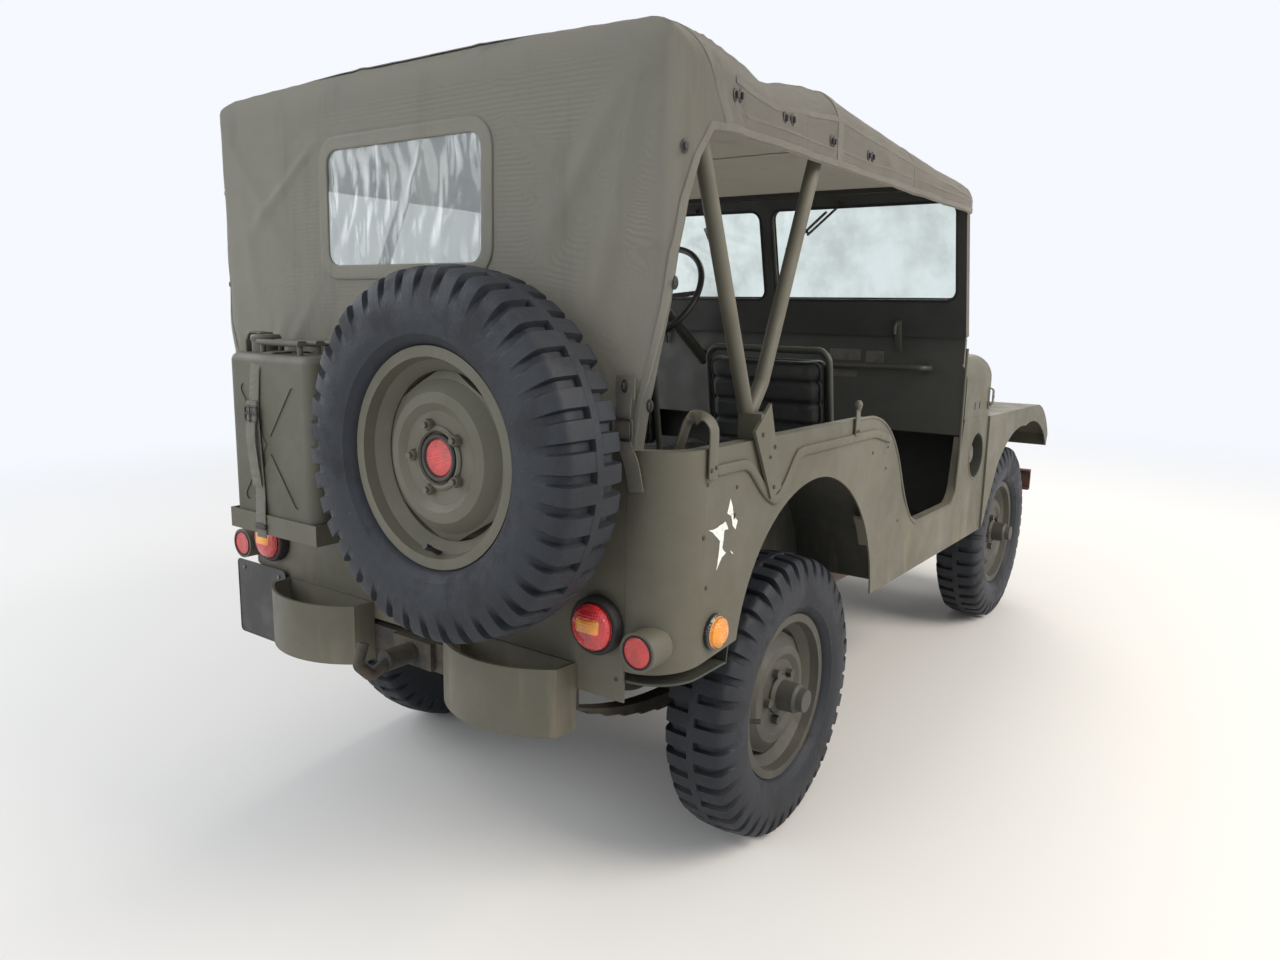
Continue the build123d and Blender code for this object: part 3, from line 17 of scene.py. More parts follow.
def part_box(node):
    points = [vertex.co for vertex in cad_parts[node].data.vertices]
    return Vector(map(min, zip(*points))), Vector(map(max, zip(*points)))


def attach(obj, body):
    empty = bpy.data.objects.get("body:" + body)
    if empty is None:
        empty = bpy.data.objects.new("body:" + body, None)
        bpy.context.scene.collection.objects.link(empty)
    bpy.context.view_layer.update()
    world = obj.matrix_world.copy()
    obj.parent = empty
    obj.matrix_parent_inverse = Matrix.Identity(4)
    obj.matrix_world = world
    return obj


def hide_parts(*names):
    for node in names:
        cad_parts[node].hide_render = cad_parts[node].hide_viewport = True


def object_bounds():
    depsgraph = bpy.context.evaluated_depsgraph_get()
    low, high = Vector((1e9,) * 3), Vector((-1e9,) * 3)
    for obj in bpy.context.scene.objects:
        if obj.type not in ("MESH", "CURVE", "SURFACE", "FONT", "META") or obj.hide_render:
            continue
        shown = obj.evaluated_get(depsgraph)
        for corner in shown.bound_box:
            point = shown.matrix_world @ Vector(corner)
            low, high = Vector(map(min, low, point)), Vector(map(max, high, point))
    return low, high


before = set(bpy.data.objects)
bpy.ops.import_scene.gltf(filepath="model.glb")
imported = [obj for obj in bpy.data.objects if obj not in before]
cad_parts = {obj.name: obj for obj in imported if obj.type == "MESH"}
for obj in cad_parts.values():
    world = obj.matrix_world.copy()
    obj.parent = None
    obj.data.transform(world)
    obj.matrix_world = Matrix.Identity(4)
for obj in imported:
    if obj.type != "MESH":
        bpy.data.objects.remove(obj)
CAD_LOW, CAD_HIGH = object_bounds()

# %% [markdown]
# A body shop measures a car from its rear axle, with the body level.  This car
# stands a little nose down on its springs, so each measured point is tipped about
# the front axle before it is used.  The axles themselves are read from the frame.

# %% Measure from the rear axle
RAKE = math.radians(2.5)
RAKE_HEIGHT = 0.376


def middle(node):
    """Centre of a frame piece's box, as an array."""
    low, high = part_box(node)
    return (np.array(low) + np.array(high)) / 2


REAR_AXLE = middle("tyre_rear_left") * (1, 0, 1)
FRONT_AXLE = middle("tyre_front_left") * (1, 0, 1)
WHEELBASE = FRONT_AXLE[0] - REAR_AXLE[0]


def unit(v):
    """Vectors of length one along v."""
    v = np.asarray(v, float)
    return v / np.linalg.norm(v, axis=-1, keepdims=True)


def on_car(points):
    """Points of the level body, turned by the rake about the front axle."""
    p = np.asarray(points, float)
    ahead, above = p[..., 0] - WHEELBASE, p[..., 2] - RAKE_HEIGHT
    c, s = math.cos(RAKE), math.sin(RAKE)
    x = FRONT_AXLE[0] + ahead * c + above * s
    z = RAKE_HEIGHT - ahead * s + above * c
    return np.stack([x, p[..., 1], z], -1)


print("wheelbase", round(WHEELBASE, 3), "m, rear axle at x", round(REAR_AXLE[0], 3))

# %% [markdown]
# The photograph was taken from eye height, less than two metres from the right rear
# corner, with a wide lens.  The camera is set from that place and aim, so that the
# render and the photograph can be laid over each other.

# %% Camera
EYE = (-3.0008, -1.7359, 1.4901)
YAW, PITCH, ROLL = (math.radians(a) for a in (35.79, -12.14, -0.287))
LENS_MM = 26.0


def stood(side, up, back, place):
    """Matrix of a camera or lamp, from the directions of its X, Y and Z and its place."""
    return Matrix([[side[i], up[i], back[i], place[i]] for i in range(3)] + [[0, 0, 0, 1]])


ahead = np.array([math.cos(YAW) * math.cos(PITCH), math.sin(YAW) * math.cos(PITCH), math.sin(PITCH)])
level = np.array([math.sin(YAW), -math.cos(YAW), 0.0])
upward = np.cross(level, ahead)
right = math.cos(ROLL) * level + math.sin(ROLL) * upward
over = math.cos(ROLL) * upward - math.sin(ROLL) * level
lens = bpy.data.cameras.new("photo_camera")
lens.lens = LENS_MM
lens.sensor_width = 36.0
lens.clip_end = 200.0
camera = bpy.data.objects.new("photo_camera", lens)
camera.matrix_world = stood(right, over, -ahead, EYE)
bpy.context.scene.collection.objects.link(camera)
bpy.context.scene.camera = camera
bpy.context.scene.view_settings.view_transform = "Standard"
print("camera at", EYE, "with a lens of", LENS_MM, "mm")

# %% [markdown]
# A finish is a small network of nodes.  Most surfaces here need the same few things:
# a noise that is fixed to the object, a way to pick out part of it, and a mix of two
# colours.  These short helpers keep each finish to a dozen readable lines.

# %% Helpers that add nodes
def new_finish(name, roughness=0.6):
    """A new material, its node tree and its principled shader."""
    material = bpy.data.materials.new(name)
    material.use_nodes = True
    tree = material.node_tree
    shader = tree.nodes["Principled BSDF"]
    shader.inputs["Roughness"].default_value = roughness
    print("finish", name)
    return material, tree, shader


def add(tree, kind, inputs=None, **settings):
    """One shader node; its inputs are plain values or other nodes' outputs."""
    node = tree.nodes.new("ShaderNode" + kind)
    for key, value in settings.items():
        setattr(node, key, value)
    for key, value in (inputs or {}).items():
        if isinstance(value, bpy.types.NodeSocket):
            tree.links.new(value, node.inputs[key])
        else:
            node.inputs[key].default_value = value
    return node


def noise(tree, scale, detail=4.0, rough=0.55, stretch=(1, 1, 1)):
    """Noise fixed to the object; stretch scales it along X, Y and Z."""
    place = add(tree, "TexCoord").outputs["Object"]
    if stretch != (1, 1, 1):
        place = add(tree, "Mapping", {"Vector": place, "Scale": stretch}).outputs[0]
    return add(tree, "TexNoise", {"Vector": place, "Scale": scale, "Detail": detail,
                                  "Roughness": rough}).outputs["Fac"]


def pick(tree, value, start, end, low=0.0, high=1.0):
    """A smooth step of a value, from low at start to high at end."""
    return add(tree, "MapRange", {"Value": value, "From Min": start, "From Max": end, "To Min": low,
                                  "To Max": high}, interpolation_type="SMOOTHSTEP").outputs[0]


def maths(tree, operation, first, second=0.0):
    """One operation on two values or outputs."""
    return add(tree, "Math", {0: first, 1: second}, operation=operation).outputs[0]


def times(tree, first, second):
    """Product of two values or outputs."""
    return maths(tree, "MULTIPLY", first, second)


def mixed(tree, share, first, second):
    """Two colours mixed by a share."""
    return add(tree, "Mix", {0: share, 6: first, 7: second}, data_type="RGBA").outputs[2]


def laid(tree, ground, over, share, strength):
    """A colour laid over the ground where the share is high, by no more than the strength."""
    return mixed(tree, times(tree, share, strength), ground, over)


def axis_of(tree, axis):
    """One coordinate of a point of the object."""
    return add(tree, "SeparateXYZ", {"Vector": add(tree, "TexCoord").outputs["Object"]}).outputs[axis]


def bump(tree, shader, height, distance, strength=1.0):
    """Raise a surface by a height, over a distance in metres."""
    node = add(tree, "Bump", {"Height": height, "Distance": distance, "Strength": strength})
    tree.links.new(node.outputs[0], shader.inputs["Normal"])


def coloured(tree, shader, colour):
    """Link a colour to the shader."""
    tree.links.new(colour, shader.inputs["Base Color"])


def shown(tree, shader):
    """Make a shader the one that the surface shows."""
    tree.links.new(shader.outputs[0], tree.nodes["Material Output"].inputs["Surface"])


def edge_wear(tree, radius=0.004):
    """About 1 on the outer edges of a piece: where a rounded normal leaves the true one."""
    true = add(tree, "NewGeometry").outputs["Normal"]
    round_off = add(tree, "Bevel", {"Radius": radius}, samples=3).outputs[0]
    match = add(tree, "VectorMath", {0: true, 1: round_off}, operation="DOT_PRODUCT").outputs["Value"]
    return pick(tree, match, 0.99, 0.86)


# %% [markdown]
# The stage is a plain pale floor under a pale sky.  A large warm lamp stands high on
# the car's right, where the day's sun was, and weaker ones fill from behind, from
# the left and from ahead, so colours render about as they are written.

# %% Floor, sky and lamps
FLOOR_REACH = 40.0
FLOOR_FADE = (2.6, 7.5)
FLOOR_COLOUR = (0.80, 0.79, 0.77, 1)
SKY_COLOUR = (0.92, 0.95, 1.0, 1)
SKY_LIGHT, SKY_SEEN = 0.55, 1.0
LAMP_AIM = (0, 0, 0.8)
# Columns: name, place, width, power, colour
LAMPS = [
    ("soft_key", (0.5, -6.0, 5.0), 4.0, 430, (1.0, 0.92, 0.82)),
    ("soft_rear", (-6.5, 1.5, 4.0), 4.0, 150, (0.96, 0.98, 1.0)),
    ("soft_left", (-3.0, 5.5, 4.0), 4.0, 120, (0.95, 0.97, 1.0)),
    ("soft_front", (5.5, 1.0, 5.0), 3.0, 170, (1.0, 0.95, 0.88)),
]

corners = np.array([(-1, -1, 0), (1, -1, 0), (1, 1, 0), (-1, 1, 0)]) * FLOOR_REACH
floor_mesh = bpy.data.meshes.new("floor")
floor_mesh.from_pydata(corners.tolist(), [], [(0, 1, 2, 3)])
floor = bpy.data.objects.new("floor", floor_mesh)
bpy.context.scene.collection.objects.link(floor)
floor_finish, floor_tree, floor_shader = new_finish("pale_floor", 0.9)
floor_shader.inputs["Base Color"].default_value = FLOOR_COLOUR
floor_shader.inputs["Specular IOR Level"].default_value = 0.2
# past the car the floor itself gives light, so that it meets the sky without a line
place = add(floor_tree, "TexCoord").outputs["Object"]
distance = add(floor_tree, "VectorMath", {0: place}, operation="LENGTH").outputs["Value"]
glow = add(floor_tree, "Emission", {"Color": SKY_COLOUR, "Strength": SKY_SEEN})
shown(floor_tree, add(floor_tree, "MixShader", {0: pick(floor_tree, distance, *FLOOR_FADE),
                                                1: floor_shader.outputs[0], 2: glow.outputs[0]}))
floor_mesh.materials.append(floor_finish)

world = bpy.data.worlds.new("pale_sky")
world.use_nodes = True
bpy.context.scene.world = world
sky = world.node_tree
background = sky.nodes["Background"]
background.inputs["Color"].default_value = SKY_COLOUR
rays = add(sky, "LightPath").outputs
bright = maths(sky, "MAXIMUM", rays["Is Camera Ray"],
               maths(sky, "MAXIMUM", rays["Is Glossy Ray"], rays["Is Transmission Ray"]))
level_of = add(sky, "MapRange", {"Value": bright, "To Min": SKY_LIGHT, "To Max": SKY_SEEN})
sky.links.new(level_of.outputs[0], background.inputs["Strength"])

for name, place, width, power, colour in LAMPS:
    light = bpy.data.lights.new(name, "AREA")
    light.size, light.energy, light.color = width, power, colour
    lamp = bpy.data.objects.new(name, light)
    back = unit(np.subtract(place, LAMP_AIM))
    side = unit(np.cross((0, 0, 1), back))
    lamp.matrix_world = stood(side, np.cross(back, side), back, place)
    bpy.context.scene.collection.objects.link(lamp)
print("stage:", len(LAMPS), "lamps over a floor of", 2 * FLOOR_REACH, "m")

# %% [markdown]
# Army paint is flat and thin.  In years outdoors it bleaches in patches, collects
# dust low down and in streaks, and rubs through on its edges.  The olive paint here
# layers those four things on one brown green, with an orange-peel bump.

# %% Olive paint
OLIVE = (0.094, 0.088, 0.062, 1)
OLIVE_FADED = (0.138, 0.127, 0.094, 1)
OLIVE_DARK = (0.052, 0.049, 0.036, 1)
DUST = (0.200, 0.165, 0.112, 1)
BARE_EDGE = (0.060, 0.048, 0.038, 1)


def olive_paint(name, base=OLIVE, faded=OLIVE_FADED, dust_share=0.55, roughness=0.58, worn=True):
    """Flat military paint with bleached patches, dirt, dust streaks and rubbed edges."""
    material, tree, shader = new_finish(name, roughness)
    bleached = pick(tree, noise(tree, 2.2, 5.0), 0.42, 0.66)
    colour = laid(tree, base, faded, bleached, 0.75)
    grime = pick(tree, noise(tree, 7.0, 8.0, 0.7, (1, 1, 0.35)), 0.60, 0.80)
    colour = laid(tree, colour, OLIVE_DARK, grime, 0.6)
    streaks = pick(tree, noise(tree, 14.0, 5.0, 0.6, (1, 1, 0.12)), 0.50, 0.72)
    low = pick(tree, axis_of(tree, 2), 0.95, 0.45)
    colour = laid(tree, colour, DUST, times(tree, streaks, low), dust_share)
    specks = pick(tree, noise(tree, 120.0, 2.0, 0.5), 0.70, 0.78)
    colour = laid(tree, colour, OLIVE_DARK, specks, 0.45)
    if worn:
        rubbed = times(tree, edge_wear(tree), pick(tree, noise(tree, 30.0, 6.0, 0.7), 0.42, 0.60))
        colour = laid(tree, colour, BARE_EDGE, rubbed, 0.8)
    coloured(tree, shader, colour)
    tree.links.new(pick(tree, noise(tree, 9.0, 4.0), 0.3, 0.7, roughness - 0.10, roughness + 0.14),
                   shader.inputs["Roughness"])
    peel = maths(tree, "ADD", noise(tree, 420.0, 2.0), times(tree, noise(tree, 6.0, 3.0), 2.5))
    bump(tree, shader, peel, 0.0006)
    return material


PAINT = olive_paint("olive_paint_matt")
PAINT_SIDES = olive_paint("olive_paint_sides", dust_share=0.8)
# The wheels are a darker olive: painted shade, for the shadow that lies on them
PAINT_WHEELS_SHADED = olive_paint("olive_paint_wheels_painted_shade", (0.052, 0.050, 0.040, 1), (0.072, 0.068, 0.054, 1), 0.2)
PAINT_CAN = olive_paint("olive_paint_can", (0.066, 0.063, 0.042, 1), (0.092, 0.087, 0.062, 1), 0.4)

# %% [markdown]
# On the cowl and the windshield frame, the faces that look back into the cab get a
# painted shade: a dark grey green, picked out by the surface normal, takes over where
# the normal points to the rear.

# %% Paint of the cowl and the windshield frame
# dark grey green, painted as shade on faces that look back into the cab
BEHIND_PAINTED_SHADE = (0.046, 0.048, 0.042, 1)


def with_painted_shade_behind(name, shade_colour=BEHIND_PAINTED_SHADE):
    """Olive paint that turns to a dark green, painted shade, on faces that look to the rear."""
    material = olive_paint(name)
    tree = material.node_tree
    shader = tree.nodes["Principled BSDF"]
    old = shader.inputs["Base Color"].links[0].from_socket
    normal = add(tree, "SeparateXYZ", {"Vector": add(tree, "TexCoord").outputs["Normal"]}).outputs[0]
    # painted shade: where the normal points to the rear, the dark colour takes over
    share = times(tree, pick(tree, normal, -0.45, -0.75), 0.92)
    coloured(tree, shader, mixed(tree, share, old, shade_colour))
    return material


# Cowl and windshield frame: olive paint with painted shade on the faces that look to the rear
PAINT_COWL = with_painted_shade_behind("olive_paint_cowl_painted_shade")
PAINT_SHIELD = with_painted_shade_behind("olive_paint_shield_painted_shade", (0.026, 0.027, 0.025, 1))

# %% [markdown]
# Under the body the paint is older and covered in road dirt; the bumper has gone to
# rust.  Both are the same idea: a dark ground, and a brown laid over it by noise.

# %% Chassis, rust and plain dark metals
def dirty_metal(name, base, dirt, share, roughness=0.75, scale=11.0):
    """Dark painted steel with dirt or rust in cloudy patches and a gritty bump."""
    material, tree, shader = new_finish(name, roughness)
    patches = pick(tree, noise(tree, scale, 8.0, 0.68), 0.40, 0.64)
    colour = laid(tree, base, dirt, patches, share)
    fine = pick(tree, noise(tree, scale * 9, 3.0), 0.45, 0.75)
    colour = laid(tree, colour, dirt, fine, 0.3)
    coloured(tree, shader, colour)
    bump(tree, shader, noise(tree, 190.0, 5.0, 0.6), 0.0012)
    return material


CHASSIS = dirty_metal("chassis_black", (0.030, 0.029, 0.026, 1), (0.105, 0.078, 0.050, 1), 0.55)
RUST = dirty_metal("rusty_brown", (0.060, 0.034, 0.028, 1), (0.150, 0.060, 0.034, 1), 0.65, 0.8, 16.0)
CASTING = dirty_metal("grey_casting", (0.075, 0.080, 0.072, 1), (0.10, 0.075, 0.05, 1), 0.5)
HARNESS = dirty_metal("dull_steel", (0.16, 0.155, 0.14, 1), (0.10, 0.075, 0.05, 1), 0.4, 0.5, 24.0)
HARNESS.node_tree.nodes["Principled BSDF"].inputs["Metallic"].default_value = 0.7
DARK_BOLT = dirty_metal("dark_fixing", (0.022, 0.022, 0.021, 1), (0.07, 0.05, 0.035, 1), 0.4, 0.55, 40.0)
SHADE = olive_paint("olive_paint_inside", (0.040, 0.044, 0.034, 1), (0.062, 0.064, 0.048, 1), 0.35, 0.55,
                    worn=False)
WELL = olive_paint("olive_paint_wheelhouse", (0.022, 0.023, 0.018, 1), (0.050, 0.046, 0.034, 1), 0.5, 0.7,
                   worn=False)
EXHAUST = dirty_metal("burnt_steel", (0.13, 0.105, 0.09, 1), (0.16, 0.085, 0.05, 1), 0.7, 0.8, 14.0)

# %% [markdown]
# Tyre rubber looks blue black where it is clean and brown grey where dust sits.  The
# dust gathers by noise, a little more near the ground, and the skin is finely cracked.

# %% Rubber
def rubber(name, clean=(0.013, 0.016, 0.022, 1), dusty=(0.040, 0.038, 0.037, 1), share=0.45):
    """Aged rubber: dust by noise, low gloss, and cracks from a fine noise."""
    material, tree, shader = new_finish(name, 0.62)
    shader.inputs["Specular IOR Level"].default_value = 0.35
    dust = pick(tree, noise(tree, 9.0, 7.0, 0.65), 0.40, 0.70)
    near_ground = pick(tree, axis_of(tree, 2), 0.75, 0.0, 0.6, 1.0)
    colour = laid(tree, clean, dusty, times(tree, dust, near_ground), share)
    spots = pick(tree, noise(tree, 70.0, 3.0), 0.68, 0.76)
    colour = laid(tree, colour, (0.09, 0.082, 0.070, 1), spots, 0.3)
    coloured(tree, shader, colour)
    tree.links.new(pick(tree, dust, 0.0, 1.0, 0.52, 0.82), shader.inputs["Roughness"])
    skin = maths(tree, "ADD", noise(tree, 300.0, 4.0, 0.7), times(tree, noise(tree, 45.0, 3.0), 1.5))
    bump(tree, shader, skin, 0.0010)
    return material


RUBBER = rubber("tyre_rubber")
SEAL = rubber("rubber_seal", (0.012, 0.012, 0.012, 1), (0.05, 0.046, 0.04, 1), 0.4)

# %% [markdown]
# Lamp lenses are moulded plastic with small prisms inside, so they glow a little in
# any light.  The prisms are a checker of bumps, and a weak subsurface share lets the
# colour spread under the face.

# %% Lenses, glass and black plastic
def lens_plastic(name, colour, prisms=0.006):
    """Coloured lens with rows of small prisms."""
    material, tree, shader = new_finish(name, 0.22)
    shade = pick(tree, noise(tree, 25.0, 3.0), 0.3, 0.7)
    darker = tuple(c * 0.62 for c in colour[:3]) + (1,)
    coloured(tree, shader, mixed(tree, shade, colour, darker))
    shader.inputs["Subsurface Weight"].default_value = 0.15
    shader.inputs["Subsurface Scale"].default_value = 0.01
    shader.inputs["Coat Weight"].default_value = 0.6
    place = add(tree, "TexCoord").outputs["Object"]
    cells = add(tree, "TexVoronoi", {"Vector": place, "Scale": 1 / prisms, "Randomness": 0.0},
                distance="MANHATTAN")
    bump(tree, shader, cells.outputs["Distance"], 0.0012, 0.8)
    return material


RED_LENS = lens_plastic("red_lens", (0.62, 0.030, 0.035, 1))
RED_DISC = lens_plastic("red_reflector", (0.66, 0.045, 0.040, 1), 0.003)
AMBER_LENS = lens_plastic("amber_lens", (0.95, 0.34, 0.02, 1))
CLEAR_LENS = lens_plastic("clear_lens", (0.75, 0.77, 0.75, 1))


def see_through(name, tint, gloss, haze, dirt_scale=5.0):
    """Thin clear sheet: mostly lets light by, mirrors at a slant, with a film of dirt."""
    material, tree, shader = new_finish(name, gloss)
    shader.inputs["Base Color"].default_value = (0.50, 0.50, 0.46, 1)
    shader.inputs["Specular IOR Level"].default_value = 0.8
    pane = add(tree, "BsdfTransparent", {"Color": tint})
    mirror = add(tree, "BsdfGlossy", {"Roughness": gloss})
    film = times(tree, pick(tree, noise(tree, dirt_scale, 6.0, 0.6), 0.35, 0.75), haze)
    clear = add(tree, "MixShader", {0: add(tree, "Fresnel", {"IOR": 1.45}).outputs[0], 1: pane.outputs[0],
                                    2: mirror.outputs[0]})
    made = add(tree, "MixShader", {0: film, 1: clear.outputs[0], 2: shader.outputs[0]})
    shown(tree, made)
    return material


GLASS = see_through("window_glass", (0.90, 0.94, 0.92, 1), 0.02, 0.22)

# Each side lamp is one moulding: black rubber up to 12.5 mm from the side, then amber lens.
FOOT_Y = 0.7775
SIDE_LENS = lens_plastic("side_lamp_lens", (0.95, 0.34, 0.02, 1))
lamp_tree = SIDE_LENS.node_tree
lamp_shader = lamp_tree.nodes["Principled BSDF"]
amber = lamp_shader.inputs["Base Color"].links[0].from_socket
foot_share = maths(lamp_tree, "LESS_THAN", maths(lamp_tree, "ABSOLUTE", axis_of(lamp_tree, 1)), FOOT_Y)
coloured(lamp_tree, lamp_shader, mixed(lamp_tree, foot_share, amber, (0.014, 0.014, 0.014, 1)))

BLACK, black_tree, black_shader = new_finish("black_plastic", 0.38)
black_dust = pick(black_tree, noise(black_tree, 12.0), 0.4, 0.7)
coloured(black_tree, black_shader, mixed(black_tree, black_dust, (0.012, 0.012, 0.012, 1),
                                         (0.045, 0.042, 0.038, 1)))
bump(black_tree, black_shader, noise(black_tree, 260.0), 0.0005)

# %% [markdown]
# Seat covers are dark green artificial leather, stretched over foam: a satin sheen,
# a pebbled grain from a fine cell pattern, and paler rubbed patches.

# %% Seat leather
SEAT, seat_tree, seat_shader = new_finish("seat_leather", 0.42)
rubbed_seat = pick(seat_tree, noise(seat_tree, 10.0, 6.0, 0.6), 0.45, 0.72)
coloured(seat_tree, seat_shader, mixed(seat_tree, rubbed_seat, (0.011, 0.015, 0.013, 1),
                                       (0.040, 0.046, 0.040, 1)))
seat_tree.links.new(pick(seat_tree, rubbed_seat, 0, 1, 0.36, 0.56), seat_shader.inputs["Roughness"])
grain = add(seat_tree, "TexVoronoi", {"Vector": add(seat_tree, "TexCoord").outputs["Object"], "Scale": 420.0},
            feature="DISTANCE_TO_EDGE")
creases = maths(seat_tree, "ADD", pick(seat_tree, grain.outputs["Distance"], 0.0, 0.18),
                times(seat_tree, noise(seat_tree, 34.0, 5.0), 3.0))
bump(seat_tree, seat_shader, creases, 0.0010)

# %% [markdown]
# The frame's own pieces keep their shape and only take a finish.  A short table says
# which; tyres, cushions and wheels go by their names, and the rest is olive paint.

# %% Finish the frame's pieces
FINISH_OF = {"body_sides": PAINT_SIDES, "cowl": PAINT_COWL, "windshield_glass": GLASS,
             "tail_lamps": RED_LENS, "side_lamps": SIDE_LENS, "headlamps": CLEAR_LENS, "front_bumper": RUST,
             "exhaust": EXHAUST, "engine": CASTING, "gearbox": CASTING, "radiator": CHASSIS,
             "steering_wheel": BLACK, "chassis_frame": CHASSIS, "rear_axle": CHASSIS, "front_axle": CHASSIS,
             "leaf_springs": CHASSIS, "shock_absorbers": CHASSIS, "propeller_shafts": CHASSIS,
             "knuckle_left": CHASSIS, "knuckle_right": CHASSIS, "tie_rod": CHASSIS, "pintle_hook": CHASSIS,
             "steering_column": SHADE, "driver_seat_frame": SHADE, "passenger_seat_frame": SHADE,
             "rear_bench_frame": SHADE, "body_floor": SHADE, "windshield_frame": PAINT_SHIELD,
             "wheelhouses": WELL, "jerrycan": PAINT_CAN}
for name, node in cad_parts.items():
    wheel = name.startswith(("wheel_", "hub_"))
    finish = FINISH_OF.get(name, RUBBER if "tyre" in name else SEAT if "cushions" in name else
                           PAINT_WHEELS_SHADED if wheel else PAINT)
    node.data.materials.clear()
    node.data.materials.append(finish)
print("finish given to", len(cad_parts), "frame pieces")

# %% [markdown]
# Every new piece below starts as arrays: a grid of points over two parameters, and
# the quads between neighbours.  A shape is the pair (points, quads), so shapes can be
# moved, repeated and put together before they become one mesh.

# %% Shapes as arrays
def grid(points, close_u=False, close_v=False, flip=False):
    """Shape of points[u, v]: one quad between each four neighbours, closed in u or v if asked."""
    nu, nv = points.shape[:2]
    a, b = np.meshgrid(np.arange(nu if close_u else nu - 1), np.arange(nv if close_v else nv - 1),
                       indexing="ij")
    a2, b2 = (a + 1) % nu, (b + 1) % nv
    quads = np.stack([a * nv + b, a2 * nv + b, a2 * nv + b2, a * nv + b2], -1).reshape(-1, 4)
    return points.reshape(-1, 3), quads[:, ::-1] if flip else quads


def together(shapes):
    """One shape from several, their quads counted on from each other."""
    counts = np.cumsum([0] + [len(p) for p, _ in shapes[:-1]])
    points = np.concatenate([p for p, _ in shapes])
    return points, np.concatenate([q + c for (_, q), c in zip(shapes, counts)])


def copies(shape, places, turns=None):
    """A shape repeated at each place, turned by a matrix whose columns are its new X, Y and Z."""
    points, quads = shape
    places = np.asarray(places, float).reshape(-1, 3)
    turns = np.broadcast_to(np.eye(3) if turns is None else turns, (len(places), 3, 3))
    moved = np.einsum("nij,pj->npi", turns, points) + places[:, None]
    shift = np.arange(len(places))[:, None, None] * len(points)
    return moved.reshape(-1, 3), (quads[None] + shift).reshape(-1, 4)


def raked(shapes):
    """One shape from several that are set on the level body, turned by the rake."""
    points, quads = together(shapes)
    return on_car(points), quads


def spun(profile, steps):
    """A profile of (radius, offset) turned about Y: x = r sin t, z = r cos t, y = offset."""
    profile = np.asarray(profile, float)
    t = np.linspace(0, 2 * np.pi, steps, endpoint=False)[:, None]
    r, y = profile[None, :, 0], profile[None, :, 1] + 0 * t
    return grid(np.stack([r * np.sin(t), y, r * np.cos(t)], -1), close_u=True)


def carried(path, section, closed=False, up=(0, 0, 1), sizes=None):
    """A closed section (x to the side, y up) carried along a path, square to it.

    At each path point the side is tangent x up, so a flat section keeps its face
    towards the up direction; sizes scales the section from point to point.
    """
    path, section = np.asarray(path, float), np.asarray(section, float)
    ahead = unit(np.roll(path, -1, 0) - np.roll(path, 1, 0) if closed else np.gradient(path, axis=0))
    side = unit(np.cross(ahead, np.asarray(up, float)))
    over = np.cross(side, ahead)
    sizes = np.ones(len(path)) if sizes is None else np.asarray(sizes, float)
    ring = section[None, :, 0:1] * side[:, None] + section[None, :, 1:2] * over[:, None]
    points = path[:, None] + ring * sizes[:, None, None]
    if not closed:
        ends = [np.broadcast_to(path[i], points[:1].shape) for i in (0, -1)]
        points = np.concatenate([ends[0], points, ends[1]])
    return grid(points, close_u=closed, close_v=True, flip=True)


def filled(ring, flip=False):
    """A flat face: a fan from a ring to its own middle."""
    return grid(np.stack([ring, np.broadcast_to(ring.mean(0), ring.shape)]), close_v=True, flip=flip)


def circle(radius, steps=12):
    """Closed round section."""
    t = np.linspace(0, 2 * np.pi, steps, endpoint=False)
    return np.stack([radius * np.cos(t), radius * np.sin(t)], -1)


def rounded(width, height, radius, steps=3):
    """Closed section of a rectangle whose four corners are quarter circles."""
    t = np.linspace(0, np.pi / 2, steps + 1)
    arc = radius * np.stack([np.cos(t), np.sin(t)], -1)
    x, y = width / 2 - radius, height / 2 - radius
    turn = [(x, y, 0), (-x, y, 1), (-x, -y, 2), (x, -y, 3)]
    quarter = [[0, 1], [-1, 0]]
    return np.concatenate([arc @ np.linalg.matrix_power(quarter, k) + (cx, cy) for cx, cy, k in turn])


def bent(corners, radius, steps=6):
    """A path of straight runs whose corners are rounded off, each by a short curve of the given reach."""
    c = np.asarray(corners, float)
    rows = [c[:1]]
    for before, at, after in zip(c[:-2], c[1:-1], c[2:]):
        reach = min(radius, np.linalg.norm(before - at) * 0.45, np.linalg.norm(after - at) * 0.45)
        start, end = at + unit(before - at) * reach, at + unit(after - at) * reach
        t = np.linspace(0, 1, steps)[:, None]
        rows.append((1 - t) ** 2 * start + 2 * t * (1 - t) * at + t**2 * end)
    return np.concatenate(rows + [c[-1:]])


def along(path, spacing):
    """The same path with points a fixed distance apart."""
    path = np.asarray(path, float)
    run = np.concatenate([[0], np.cumsum(np.linalg.norm(np.diff(path, axis=0), axis=1))])
    marks = np.linspace(0, run[-1], max(2, int(round(run[-1] / spacing)) + 1))
    return np.stack([np.interp(marks, run, path[:, i]) for i in range(3)], -1)


def wire_loop(centre, wide, high, bend, radius, up=(-1, 0, 0)):
    """Round wire bent to a rectangle that faces the rear, its two ends laid over each other."""
    corners = [(0, -wide / 2, -high / 2), (0, wide / 2, -high / 2), (0, wide / 2, high / 2),
               (0, -wide / 2, high / 2)]
    path = along(bent(np.add(centre, corners + corners[:2]), bend), 0.004)
    return carried(path[2:-2], circle(radius, 8), up=up)


def slab(size, radius=0.002, steps=2):
    """A box of the given size about the origin, its upright edges and rims rounded off."""
    x, y, z = size
    ring = rounded(x, y, radius, steps)
    inner = ring - unit(ring) * radius
    levels = [(inner * 0, -z / 2), (inner, -z / 2), (ring, -z / 2 + radius), (ring, z / 2 - radius),
              (inner, z / 2), (inner * 0, z / 2)]
    points = np.stack([np.concatenate([r, np.full((len(r), 1), h)], -1) for r, h in levels])
    return grid(points, close_v=True, flip=True)


